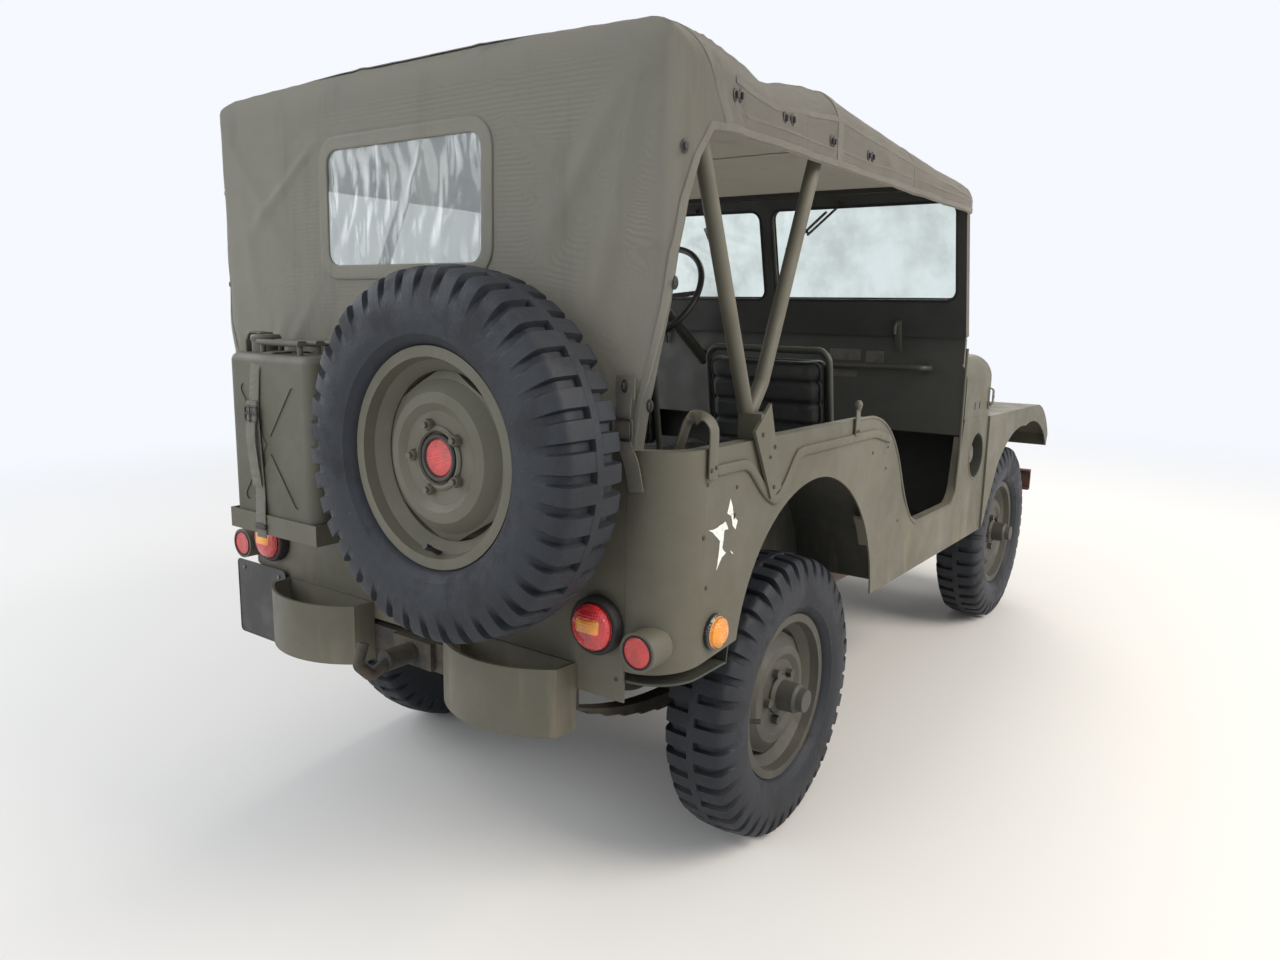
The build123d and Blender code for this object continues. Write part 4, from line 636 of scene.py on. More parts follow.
def piece(name, shape, finish, body="car", smooth=40.0):
    """One mesh from a shape: doubles merged, riding on a body of the frame."""
    points, quads = shape
    mesh = bpy.data.meshes.new(name)
    mesh.vertices.add(len(points))
    mesh.vertices.foreach_set("co", np.ascontiguousarray(points, np.float32).ravel())
    mesh.loops.add(quads.size)
    mesh.loops.foreach_set("vertex_index", np.ascontiguousarray(quads, np.int32).ravel())
    mesh.polygons.add(len(quads))
    mesh.polygons.foreach_set("loop_start", np.arange(len(quads), dtype=np.int32) * 4)
    mesh.update(calc_edges=True)
    work = bmesh.new()
    work.from_mesh(mesh)
    bmesh.ops.remove_doubles(work, verts=work.verts, dist=1e-6)
    bmesh.ops.dissolve_degenerate(work, edges=work.edges, dist=1e-6)
    work.to_mesh(mesh)
    work.free()
    mesh.validate()
    mesh.materials.append(finish)
    obj = bpy.data.objects.new(name, mesh)
    bpy.context.scene.collection.objects.link(obj)
    mesh.shade_smooth()
    mesh.set_sharp_from_angle(angle=math.radians(smooth))
    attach(obj, body)
    print(name, "has", len(mesh.polygons), "faces and rides on", body)
    return obj


# %% [markdown]
# The tyres have the old non-directional tread: straight bars that stand out at the
# shoulder and run nearly to a narrow middle rib, the two sides half a pitch apart.
# The shape is one grid.  Along the profile there are two curves, the floor of the
# grooves and the tops of the bars, and a wave round the tyre moves each point from
# the floor to the top.  Columns are crowded at the flanks, so the bars have edges.

# %% Tyres
BARS = 40
tyre_low, tyre_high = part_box("tyre_rear_left")
TYRE_RADIUS, SECTION_HALF = (tyre_high[2] - tyre_low[2]) / 2, (tyre_high[1] - tyre_low[1]) / 2
RIB_HALF = 0.0095
# Share of a pitch from a bar's middle to its edge, width of that edge, and most wear of a bar
BAR_HALF, BAR_EDGE, BAR_WEAR = 0.305, 0.055, 0.16
# Columns: radius of the bar tops, radius of the groove floor, half width (top, floor)
TYRE_CURVE = np.array([
    (0.2110, 0.2110, 0.0600, 0.0600), (0.2270, 0.2270, 0.0605, 0.0605), (0.2305, 0.2305, 0.0690, 0.0690),
    (0.2360, 0.2360, 0.0765, 0.0765), (0.2450, 0.2450, 0.0825, 0.0825), (0.2490, 0.2490, 0.0860, 0.0860),
    (0.2530, 0.2530, 0.0868, 0.0868), (0.2640, 0.2640, 0.0902, 0.0902), (0.2780, 0.2780, 0.0932, 0.0932),
    (0.2920, 0.2920, 0.0940, 0.0940), (0.3060, 0.3060, 0.0938, 0.0938), (0.3180, 0.3170, 0.0930, 0.0925),
    (0.3300, 0.3270, 0.0918, 0.0895), (0.3420, 0.3360, 0.0900, 0.0850), (0.3540, 0.3450, 0.0872, 0.0790),
    (0.3640, 0.3530, 0.0836, 0.0725), (0.3715, 0.3590, 0.0795, 0.0660), (0.3765, 0.3640, 0.0745, 0.0610),
    (0.3790, 0.3668, 0.0690, 0.0570), (0.3808, 0.3685, 0.0600, 0.0520), (0.3822, 0.3696, 0.0480, 0.0440),
    (0.3836, 0.3704, 0.0340, 0.0330), (0.3844, 0.3708, 0.0210, 0.0210), (0.3848, 0.3710, 0.0120, 0.0120),
    (0.3849, 0.3849, 0.0095, 0.0095), (0.3850, 0.3850, 0.0, 0.0),
])
PITCH_MARKS = np.array([0.0, 0.07, 0.13, 0.165, 0.195, 0.23, 0.31, 0.42, 0.50, 0.58, 0.69, 0.77, 0.805,
                        0.835, 0.87, 0.93])


def tyre_shape(seed):
    """Ring of bars: t runs round the tyre, s along the profile, point = floor + wave(t) (top - floor)."""
    draw = np.random.default_rng(seed)
    fit = (TYRE_RADIUS, SECTION_HALF) / TYRE_CURVE[:, (0, 2)].max(0)
    top, floor_line = (np.concatenate([half, (half * (1, -1))[-2::-1]]) * fit
                       for half in (TYRE_CURVE[:, (0, 2)], TYRE_CURVE[:, (1, 3)]))
    pitch = np.tile(PITCH_MARKS, BARS)
    t = (np.repeat(np.arange(BARS), len(PITCH_MARKS)) + pitch) * 2 * np.pi / BARS
    wave = np.clip((np.abs(pitch - 0.5) - BAR_HALF) / BAR_EDGE, 0, 1)
    wave = 1 - wave * wave * (3 - 2 * wave)
    worn = np.repeat(1 - BAR_WEAR * draw.random((BARS, 2)), len(PITCH_MARKS), 0)
    side = np.clip(top[:, 1] / RIB_HALF, -1, 1)
    depth = np.where(side[None] > 0, worn[:, :1], worn[:, 1:])
    share = wave[:, None] * depth
    middle_rib = np.abs(top[:, 1]) < RIB_HALF * 1.01
    share = np.where(middle_rib[None], 1.0, share)
    line = floor_line[None] + share[..., None] * (top - floor_line)[None]
    turn = t[:, None] + (1 - side[None]) * np.pi / BARS / 2
    return grid(np.stack([line[..., 0] * np.sin(turn), line[..., 1], line[..., 0] * np.cos(turn)], -1),
                close_u=True, close_v=True)


OUTWARD = {"left": np.eye(3), "right": np.diag([-1.0, -1.0, 1.0])}
SPARE_TURN = np.array(((0, -1, 0), (1, 0, 0), (0, 0, 1.0)))
SPARE_TILT = np.array(((math.cos(RAKE), 0, math.sin(RAKE)), (0, 1, 0), (-math.sin(RAKE), 0, math.cos(RAKE))))
# Columns: name of the corner, body that carries it, turn
CORNERS = [(f"{end}_{side}", f"wheel_assembly_{end}_{side}", OUTWARD[side])
           for end in ("rear", "front") for side in ("left", "right")]
for seed, (corner, carrier, turn) in enumerate(CORNERS):
    tyre = piece(f"lugged_tyre_{corner}", copies(tyre_shape(seed), [middle("tyre_" + corner)], turn), RUBBER,
                 carrier, 28.0)
    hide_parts("tyre_" + corner)
SPARE_MIDDLE = on_car((-0.863, -0.331, 1.014))


def on_spare(shape):
    """A shape of the wheel about its own axis, set where the spare hangs."""
    return copies(shape, [SPARE_MIDDLE], SPARE_TILT @ SPARE_TURN)


spare = piece("lugged_tyre_spare", on_spare(tyre_shape(9)), RUBBER, "car", 28.0)
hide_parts("spare_tyre")
print("tyre", round(TYRE_RADIUS * 2000), "mm high,", len(spare.data.polygons), "faces")

# %% [markdown]
# Small fixings come from two round profiles, a domed head and a six-sided nut, turned
# about Y and then set square to whatever they fasten.  The wheels themselves are the
# frame's own; what is new here is the valve on each rim, the nuts that hold the spare,
# and the red reflector in a ring at the middle of it.

# %% Fixings, valves and the spare wheel's middle
def dome(radius, rise, steps=16, foot=0.0):
    """Domed screw head about Y, its foot sunk a little into what it is fixed to."""
    return spun([(radius, -foot), (radius, rise * 0.45), (radius * 0.86, rise * 0.8),
                 (radius * 0.5, rise * 0.97), (0, rise)], steps)


def hex_nut(across, rise, hole=0.0):
    """Six-sided nut about Y with a chamfered face and the end of its bolt."""
    r = across / 2 / math.cos(math.pi / 6)
    return together([spun([(r, 0), (r, rise * 0.8), (r * 0.88, rise), (hole, rise)], 6),
                     spun([(hole + 0.0004, rise * 0.9), (hole + 0.0004, rise * 1.25), (0, rise * 1.3)], 12)])


def facing(normal, up=(0, 0, 1)):
    """Turn that takes a shape's Y to the normal and its Z as near as may be to up."""
    y = unit(normal)
    up = np.asarray(up, float)
    up = np.array((1.0, 0, 0)) if abs(y @ unit(up)) > 0.98 else up
    x = unit(np.cross(y, up))
    return np.stack([x, y, np.cross(x, y)], -1)


def on_body(shape, place, normal, up=(0, 0, 1)):
    """A shape set on a point of the level body, facing a normal, then raked with it."""
    points, quads = copies(shape, [place], facing(normal, up))
    return on_car(points), quads


def screw(place, normal, radius, rise=0.0022, sunk=0.002):
    """A domed screw head on a point of the level body."""
    return on_body(dome(radius, rise, 14, sunk), place, normal)


STEM = carried(bent([(0.199, 0.040, 0), (0.193, 0.052, 0), (0.180, 0.074, 0)], 0.01), circle(0.0052, 10))
CAP = carried([(0.1835, 0.068, 0), (0.1750, 0.0822, 0)], circle(0.0066, 10))
VALVE = together([STEM, CAP])
VALVE_DOWN = (VALVE[0] @ np.array([(0, 0, -1), (0, 1, 0), (1, 0, 0)], float), VALVE[1])
for corner, carrier, turn in CORNERS:
    piece(f"valve_{corner}", copies(VALVE, [middle("tyre_" + corner)], turn), DARK_BOLT, carrier)

STUD_CIRCLE, DISC_FACE = 0.13970, 0.040
stud_angles = np.radians(np.arange(5) * 72.0)
nut_places = [(STUD_CIRCLE / 2 * math.cos(a), DISC_FACE, STUD_CIRCLE / 2 * math.sin(a)) for a in stud_angles]
spare_nuts = copies(hex_nut(0.0215, 0.014, 0.0065), nut_places)
ring = spun([(0.066, 0.040), (0.066, 0.0435), (0.0615, 0.0465), (0.0565, 0.0455), (0.054, 0.041)], 64)
cup = spun([(0.0490, 0.0340), (0.0490, 0.0420), (0.0465, 0.0450), (0.0410, 0.0440), (0.0385, 0.0395)], 48)
disc = spun([(0.0390, 0.0385), (0.0360, 0.0412), (0.0200, 0.0424), (0, 0.0428)], 48)

piece("spare_nuts", on_spare(together([spare_nuts, ring])), PAINT, "car", 30.0)
piece("spare_valve", on_spare(VALVE_DOWN), DARK_BOLT, "car")
piece("spare_reflector_cup", on_spare(cup), DARK_BOLT, "car", 30.0)
piece("spare_reflector", on_spare(disc), RED_DISC, "car", 30.0)

# %% [markdown]
# Canvas is a plain weave of thick yarn.  Bands of waves along X, Y and Z make its ribs
# and a coarse noise makes the yarn uneven.  The roof and its valances are browner,
# while the rear curtain is paler and greyer: partly its own colour and partly painted
# light for the daylight that shines through it.  A soft step along the car mixes the
# two.  A little light comes through it, so the roof glows from inside.

# %% Canvas and clear plastic sheet
def canvas_cloth(name, roof, lit_curtain, lit=0.16, ribs=620.0):
    """Woven canvas: crossed ribs, faded patches, rain streaks, a curtain colour partly painted light, and a
    share of light let through.
    """
    material, tree, shader = new_finish(name, 0.88)
    shader.inputs["Sheen Weight"].default_value = 0.25
    shader.inputs["Sheen Roughness"].default_value = 0.6
    # the rear curtain's paler colour is partly painted light, for daylight through the cloth
    rear = pick(tree, axis_of(tree, 0), -1.56, -1.40)
    colour = mixed(tree, rear, lit_curtain, roof)
    faded = pick(tree, noise(tree, 3.1, 6.0, 0.6), 0.40, 0.68)
    colour = laid(tree, colour, tuple(1.22 * c for c in roof[:3]) + (1,), faded, 0.5)
    streak = pick(tree, noise(tree, 9.0, 6.0, 0.62, (1, 1, 0.14)), 0.52, 0.74)
    colour = laid(tree, colour, (0.092, 0.088, 0.058, 1), streak, 0.42)
    stain = pick(tree, noise(tree, 21.0, 4.0, 0.7), 0.64, 0.74)
    colour = laid(tree, colour, (0.30, 0.285, 0.22, 1), stain, 0.30)
    coloured(tree, shader, colour)
    place = add(tree, "TexCoord").outputs["Object"]
    waves = [add(tree, "TexWave", {"Vector": place, "Scale": ribs, "Distortion": 1.2, "Detail": 1.0,
                                   "Detail Scale": 3.0}, bands_direction=d).outputs["Fac"] for d in "XYZ"]
    weave = maths(tree, "ADD", times(tree, waves[0], waves[1]), waves[2])
    rough = maths(tree, "ADD", weave, times(tree, noise(tree, 90.0, 5.0, 0.6), 2.2))
    bump(tree, shader, rough, 0.0009)
    through = add(tree, "BsdfTranslucent", {"Color": tuple(1.5 * c for c in roof[:3]) + (1,)})
    both = add(tree, "MixShader", {0: lit, 1: shader.outputs[0], 2: through.outputs[0]})
    shown(tree, both)
    return material


CANVAS = canvas_cloth("canvas_cloth", (0.275, 0.250, 0.200, 1), (0.370, 0.355, 0.272, 1))
CANVAS_HEM = canvas_cloth("canvas_hem", (0.300, 0.272, 0.220, 1), (0.385, 0.370, 0.285, 1), 0.05)
WEBBING = canvas_cloth("webbing", (0.195, 0.180, 0.130, 1), (0.195, 0.180, 0.130, 1), 0.02, 300.0)

# %% [markdown]
# Old vinyl is milky and marked by its creases.  A clear share lets the cab show
# faintly, a film of grey green lies over it, and upright streaks of noise run down the
# film: olive where it is stained, and bluish white where the sheet is stressed, which
# also serves as a painted highlight.

# %% Milky vinyl
VINYL, vinyl_tree, vinyl_shader = new_finish("milky_vinyl", 0.16)
vinyl_shader.inputs["Coat Weight"].default_value = 0.5
vinyl_shader.inputs["Coat Roughness"].default_value = 0.08
film_colour = mixed(vinyl_tree, pick(vinyl_tree, noise(vinyl_tree, 5.0, 3.0, 0.5, (1, 1, 0.5)), 0.35, 0.65),
                    (0.235, 0.262, 0.270, 1), (0.310, 0.345, 0.330, 1))
stain = pick(vinyl_tree, noise(vinyl_tree, 9.0, 3.0, 0.5, (1, 1, 0.22)), 0.60, 0.66)
film_colour = laid(vinyl_tree, film_colour, (0.165, 0.170, 0.115, 1), stain, 0.75)
# bluish white streaks: partly stress whitening, partly painted highlight
stress_and_highlight = pick(vinyl_tree, noise(vinyl_tree, 17.0, 4.0, 0.6, (1, 1, 0.14)), 0.56, 0.68)
film_colour = laid(vinyl_tree, film_colour, (0.66, 0.70, 0.72, 1), stress_and_highlight, 0.85)
coloured(vinyl_tree, vinyl_shader, film_colour)
bump(vinyl_tree, vinyl_shader, noise(vinyl_tree, 30.0, 3.0, 0.5, (1, 1, 0.3)), 0.0015)
clear_part = add(vinyl_tree, "BsdfTransparent", {"Color": (0.80, 0.83, 0.80, 1)})
vinyl_both = add(vinyl_tree, "MixShader", {0: 0.72, 1: clear_part.outputs[0], 2: vinyl_shader.outputs[0]})
shown(vinyl_tree, vinyl_both)

# %% [markdown]
# The top is one cut of heavy canvas, stretched over two bows and the windshield.  Its
# smooth form is a closed volume: a lofted roof, cut by the rounded line of the rear
# curtain and by a plan with rounded corners.  A ray from a point inside finds the
# sheet where the ray leaves that volume.  The rays fan out from one line across the
# car: in upright planes over the roof, then in planes that swing down behind it.

# %% The smooth form of the top
# Columns: X, height at the side edges, height at the crown, radius of the long corners
ROOF = np.array([(-0.760, 1.850, 1.872, 0.095), (-0.610, 1.850, 1.872, 0.095), (-0.340, 1.814, 1.846, 0.090),
                 (-0.024, 1.846, 1.862, 0.090), (1.060, 1.7572, 1.762, 0.062)])
TOP_HALF, CURTAIN_X, CURTAIN_R = 0.768, -0.712, 0.070
FAN_X, FAN_Z = -0.470, 1.560
HEM_Z, VALANCE_Z = 1.046, 1.660
# The curtain leans in by a little up to its shoulder, and bends over into the roof from there
SHOULDER_Z, SHOULDER_R, CURTAIN_LEAN = 1.790, 0.090, 0.004
# The free edge on each side, from the hem up the curtain and forward along the valance
EDGE = np.array([(-0.722, 1.000), (-0.716, 1.149), (-0.706, 1.240), (-0.693, 1.336), (-0.683, 1.430),
                 (-0.668, 1.519), (-0.640, 1.600), (-0.600, 1.655), (-0.520, VALANCE_Z), (1.100, VALANCE_Z)])


def curtain_x(z):
    """X of the curtain at a height, below its shoulder."""
    return CURTAIN_X + CURTAIN_LEAN * (z - HEM_Z) / (SHOULDER_Z - HEM_Z)


def inside_top(x, y, z):
    """Whether points lie inside the volume that the top encloses."""
    edge, crown, r = (np.interp(x, ROOF[:, 0], ROOF[:, i]) for i in (1, 2, 3))
    flat, rise = TOP_HALF - r, crown - edge
    arc = (flat**2 + rise**2) / (2 * rise)
    over_flat = crown - arc + np.sqrt(np.maximum(arc**2 - y**2, 0))
    beside = np.abs(y) - flat
    over_corner = edge - r + np.sqrt(np.maximum(r**2 - np.maximum(beside, 0) ** 2, 0))
    bent_over = SHOULDER_R - np.sqrt(np.maximum(SHOULDER_R**2 - (z - SHOULDER_Z) ** 2, 0))
    back = np.where(z > SHOULDER_Z, CURTAIN_X + CURTAIN_LEAN + bent_over, curtain_x(z))
    bend = np.maximum(CURTAIN_X + CURTAIN_R - x, 0)
    side = TOP_HALF - CURTAIN_R + np.sqrt(np.maximum(CURTAIN_R**2 - bend**2, 0))
    return (z <= np.where(beside > 0, over_corner, over_flat)) & (x >= back) & (np.abs(y) <= side)


def leave(start, ahead):
    """Where rays leave the top, found by halving the way forty times."""
    low, high = np.zeros(ahead.shape[:-1]), np.full(ahead.shape[:-1], 2.2)
    for _ in range(40):
        half = (low + high) / 2
        p = start + ahead * half[..., None]
        within = inside_top(p[..., 0], p[..., 1], p[..., 2])
        low, high = np.where(within, half, low), np.where(within, high, half)
    return start + ahead * low[..., None]


def top_planes(over, around, down):
    """Each plane of the fan, front to hem, as X and Z of its origin and of its direction."""
    x = np.linspace(1.060, FAN_X, over)
    swing = np.radians(np.linspace(0, 117.5, around + 1)[1:])
    z = np.linspace(1.427, HEM_Z, down)
    return np.concatenate([
        np.stack([x, np.full(over, FAN_Z), np.zeros(over), np.ones(over)], -1),
        np.stack([np.full(around, FAN_X), np.full(around, FAN_Z), -np.sin(swing), np.cos(swing)], -1),
        np.stack([np.full(down, FAN_X), z, -np.ones(down), np.zeros(down)], -1)])


def crossing(x0, z0, dx, dz):
    """Distance, along one plane's direction, at which it meets the free edge."""
    off = (EDGE[:, 0] - x0) * dz - (EDGE[:, 1] - z0) * dx
    ahead = (EDGE[:, 0] - x0) * dx + (EDGE[:, 1] - z0) * dz
    i = [k for k in range(len(EDGE) - 1) if off[k] * off[k + 1] <= 0 and max(ahead[k:k + 2]) > 0][0]
    share = off[i] / (off[i] - off[i + 1])
    return ahead[i] + share * (ahead[i + 1] - ahead[i])


ROOF_ROWS, SHOULDER_ROWS, CURTAIN_ROWS, ACROSS = 116, 122, 40, 241
# Only rows past this one, which all lie on the rear curtain, wave at the hem
HEM_FROM_ROW = 200
PLANES = top_planes(ROOF_ROWS, SHOULDER_ROWS, CURTAIN_ROWS)
reach = np.array([crossing(*plane) for plane in PLANES])
edge_x = PLANES[:, 0] + PLANES[:, 2] * reach
tuck = np.maximum(0, CURTAIN_X + CURTAIN_R - edge_x)
limit = np.arctan2(TOP_HALF - tuck**2 / (2 * CURTAIN_R), reach)
theta = limit[:, None] * np.linspace(-1, 1, ACROSS)
start = np.stack([PLANES[:, 0], 0 * reach, PLANES[:, 1]], -1)[:, None]
rays = np.stack([PLANES[:, 2, None] * np.cos(theta), np.sin(theta), PLANES[:, 3, None] * np.cos(theta)], -1)
taut = leave(start, rays)
print("top", len(PLANES), "by", ACROSS, "points")

# %% [markdown]
# Canvas that has been wet and dried keeps soft folds.  Here they are added along the
# sheet's normal: a fold runs from one point to another, has a width, and dies out at
# its ends.  The long ones start where the sheet is pulled, at the ends of the bows,
# and many short random ones lie between them.  The roof also sags between the bows,
# and rides up over each of them.

# %% Folds, sag and seams of the top
def sheet_normals(points):
    """Unit normals of a grid of points, outward."""
    return unit(np.cross(np.gradient(points, axis=1), np.gradient(points, axis=0)))


def fold(points, start, end, width, height):
    """Height of one fold: a bell across, a long bump along, higher near its start."""
    start, end = np.asarray(start, float), np.asarray(end, float)
    run = end - start
    t = (points - start) @ run / (run @ run)
    off = np.linalg.norm(points - start - t[..., None] * run, axis=-1)
    along_it = np.clip(np.minimum(t + 0.08, 1.0 - t) / 0.3, 0, 1)
    along_it = along_it**2 * (3 - 2 * along_it)
    spread = width * (0.55 + 0.9 * np.clip(t, 0, 1))
    return height * along_it * np.exp(-((off / spread) ** 2))


REAR_BOW_X, BOW_X, SAG = -0.600, -0.024, 0.0035
# Columns: start, end, width, height; each is also laid on the other side of the car
PULLED = [
    ((-0.600, 0.700, 1.850), (-0.100, 0.250, 1.850), 0.026, 0.0060),
    ((-0.600, 0.700, 1.845), (-0.330, 0.720, 1.780), 0.020, 0.0050),
    ((-0.024, 0.720, 1.830), (-0.420, 0.500, 1.840), 0.028, 0.0065),
    ((-0.024, 0.720, 1.820), (-0.350, 0.768, 1.700), 0.020, 0.0050),
    ((-0.024, 0.720, 1.820), (0.380, 0.768, 1.690), 0.022, 0.0060),
    ((0.000, 0.700, 1.840), (0.620, 0.300, 1.805), 0.030, 0.0060),
    ((1.040, 0.730, 1.740), (0.350, 0.600, 1.810), 0.026, 0.0055),
    ((1.040, 0.740, 1.735), (0.450, 0.768, 1.710), 0.018, 0.0050),
    ((-0.690, 0.700, 1.790), (-0.712, 0.400, 1.380), 0.030, 0.0055),
    ((-0.700, 0.690, 1.780), (-0.712, 0.560, 1.250), 0.024, 0.0060),
    ((-0.712, 0.300, 1.730), (-0.712, 0.620, 1.480), 0.022, 0.0040),
    ((-0.712, 0.280, 1.390), (-0.712, 0.520, 1.090), 0.028, 0.0060),
    ((-0.712, 0.120, 1.380), (-0.712, 0.190, 1.060), 0.030, 0.0050),
    ((-0.712, 0.640, 1.060), (-0.706, 0.690, 1.400), 0.018, 0.0050),
    ((-0.712, 0.540, 1.050), (-0.712, 0.470, 1.330), 0.022, 0.0045),
]
draw = np.random.default_rng(23)
height = np.zeros(taut.shape[:2])
for start_at, end_at, width, rise in PULLED:
    for side in (1, -1):
        jitter = draw.normal(0, 0.012, (2, 3))
        height += fold(taut, np.multiply(start_at, (1, side, 1)) + jitter[0],
                       np.multiply(end_at, (1, side, 1)) + jitter[1], width * 0.75,
                       rise * draw.uniform(1.3, 2.1))
for _ in range(150):
    i, j = draw.integers(4, len(taut) - 4), draw.integers(4, ACROSS - 4)
    heading = draw.normal(0, 1, 3) * (1, 0.8, 0.5)
    here = taut[i, j]
    height += fold(taut, here, here + unit(heading) * draw.uniform(0.10, 0.34), draw.uniform(0.016, 0.036),
                   draw.uniform(-0.0036, 0.0040))
roof_share = np.clip((taut[..., 2] - 1.70) / 0.08, 0, 1) * np.clip((taut[..., 0] + 0.66) / 0.06, 0, 1)
to_bow, to_front = taut[..., 0] - REAR_BOW_X, taut[..., 0] - BOW_X
span = np.select([to_bow < 0, to_front < 0], [0, np.sin(np.pi * to_bow / (BOW_X - REAR_BOW_X))],
                 np.sin(np.pi * np.clip(to_front / (ROOF[-1, 0] - BOW_X), 0, 1)))
height -= roof_share * np.clip(span, 0, 1) * SAG
# the loose edges wave a little, more towards the free edge
free = np.abs(np.linspace(-1, 1, ACROSS))[None, :] ** 14
behind = np.arange(len(taut))[:, None] > HEM_FROM_ROW
hem = np.clip(1 - (taut[..., 2] - HEM_Z) / 0.10, 0, 1) * behind
wave = (np.sin(taut[..., 0] * 21.0 + 1.1) + 0.6 * np.sin(taut[..., 0] * 47.0)
        + 0.7 * np.sin(taut[..., 2] * 31.0))
height += 0.0028 * free * wave + 0.0035 * hem * np.sin(taut[..., 1] * 24.0 + 0.7)
NORMALS = sheet_normals(taut)
loose = taut + NORMALS * (height - 0.001)[..., None]
print("folds from", round(height.min() * 1000, 1), "to", round(height.max() * 1000, 1), "mm")

# %% [markdown]
# The rear window is cut out of the sheet, and a bound rim covers the cut.  Strips of
# doubled canvas run along the free edges and the hem, along the top of the valances,
# and across the roof at each bow, at one seam and at the front.  Each strip follows the
# sheet: its middle line is read from the sheet's own points, and its two edges lie to
# the side of that line.

# %% The canvas sheet with its seams, hems and bound window
WIDE, TALL, WINDOW_Z, CORNER = 0.540, 0.285, 1.5475, 0.040
RIM_OUT, RIM_WIDE, RIM_THICK = 0.010, 0.034, 0.0030


def in_window(y, z):
    """Whether points of the curtain lie inside the window's rounded outline."""
    dy = np.abs(y) - WIDE / 2 + CORNER
    dz = np.abs(z - WINDOW_Z) - TALL / 2 + CORNER
    return np.where((dy > 0) & (dz > 0), np.hypot(dy, dz) < CORNER, (dy < CORNER) & (dz < CORNER))


points, quads = grid(on_car(loose))
centre = taut.reshape(-1, 3)[quads].mean(1)
quads = quads[~(in_window(centre[:, 1], centre[:, 2]) & (centre[:, 0] < -0.69))]


def strip(path, outward, width, thick=0.0022, closed=False):
    """Doubled band along a path on the sheet: a low rounded section lying on the outward side."""
    path, outward = np.asarray(path, float), unit(outward)
    ahead = unit(np.roll(path, -1, 0) - np.roll(path, 1, 0) if closed else np.gradient(path, axis=0))
    side = unit(np.cross(ahead, outward))
    profile = np.array([(-1, -0.5), (-1, 0.5), (-0.86, 1), (-0.5, 1.15), (0, 0.95), (0.5, 1.15), (0.86, 1),
                        (1, 0.5), (1, -0.5)]) * (width / 2, thick)
    points = path[:, None] + profile[None, :, :1] * side[:, None] + profile[None, :, 1:] * outward[:, None]
    return grid(on_car(points), close_u=closed, close_v=True, flip=True)


def at_rows(first, last, column):
    """Points and normals of the sheet down one fractional column, such as along a seam."""
    i = np.arange(first, last)
    c = np.broadcast_to(column, len(taut))[i] if np.ndim(column) else np.full(len(i), float(column))
    low = np.clip(np.floor(c).astype(int), 0, ACROSS - 2)
    share = (c - low)[:, None]
    return [(1 - share) * a[i, low] + share * a[i, low + 1] for a in (loose, NORMALS)]


def column_at_height(heights, side):
    """Fractional column at which each row of the sheet comes down to a height on one side."""
    found = []
    for row, z in zip(taut, heights):
        half = row[:ACROSS // 2 + 1, 2] if side < 0 else row[ACROSS // 2:, 2][::-1]
        found.append(np.interp(z, half, np.arange(len(half))))
    found = np.array(found)
    return found if side < 0 else ACROSS - 1 - found


bands = []
for side in (-1, 1):
    edge_column = 1.2 if side < 0 else ACROSS - 2.2
    bands.append(strip(*at_rows(0, len(taut), edge_column), 0.016, 0.0026))
    seam_height = np.interp(taut[:, ACROSS // 2, 0], ROOF[:, 0], ROOF[:, 1] - ROOF[:, 3]) + 0.018
    bands.append(strip(*at_rows(2, ROOF_ROWS + 12, column_at_height(seam_height, side)), 0.013, 0.0016))
    inner = 4.5 if side < 0 else ACROSS - 5.5
    bands.append(strip(*at_rows(0, ROOF_ROWS, inner), 0.006, 0.0012))
# Columns: X of a band that crosses the roof, width
for x, width in ((REAR_BOW_X, 0.030), (BOW_X, 0.034), (0.50, 0.010), (1.045, 0.028)):
    row = int(np.argmin(np.abs(PLANES[:ROOF_ROWS, 0] - x))) if x > FAN_X else ROOF_ROWS + 31
    bands.append(strip(loose[row, 2:-2], NORMALS[row, 2:-2], width, 0.0016))
bands.append(strip(loose[-3, 1:-1], NORMALS[-3, 1:-1], 0.030, 0.0022))
rim = rounded(WIDE + 2 * RIM_OUT, TALL + 2 * RIM_OUT, CORNER + RIM_OUT, 7) + (0, WINDOW_Z)
rim = along(np.insert(np.concatenate([rim, rim[:1]]), 0, 0, axis=1), 0.012)[:-1]
rim[:, 0] = curtain_x(rim[:, 2]) - 0.0005
bands.append(strip(rim, np.tile((-1.0, 0, 0), (len(rim), 1)), RIM_WIDE, RIM_THICK, closed=True))
canvas = piece("canvas_sheet", (points, quads), CANVAS, "car", 60.0)
seams = piece("canvas_seams", together(bands), CANVAS_HEM, "car", 60.0)
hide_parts("canvas_top")

# %% [markdown]
# The rear window is a sheet of old clear vinyl, sewn in and creased by years of
# rolling up.  It is a grid whose height is a sum of soft waves and of creases: the
# waves run mostly upright, and each crease is a bell across one leaning line.  Its
# edges stay under the bound rim.

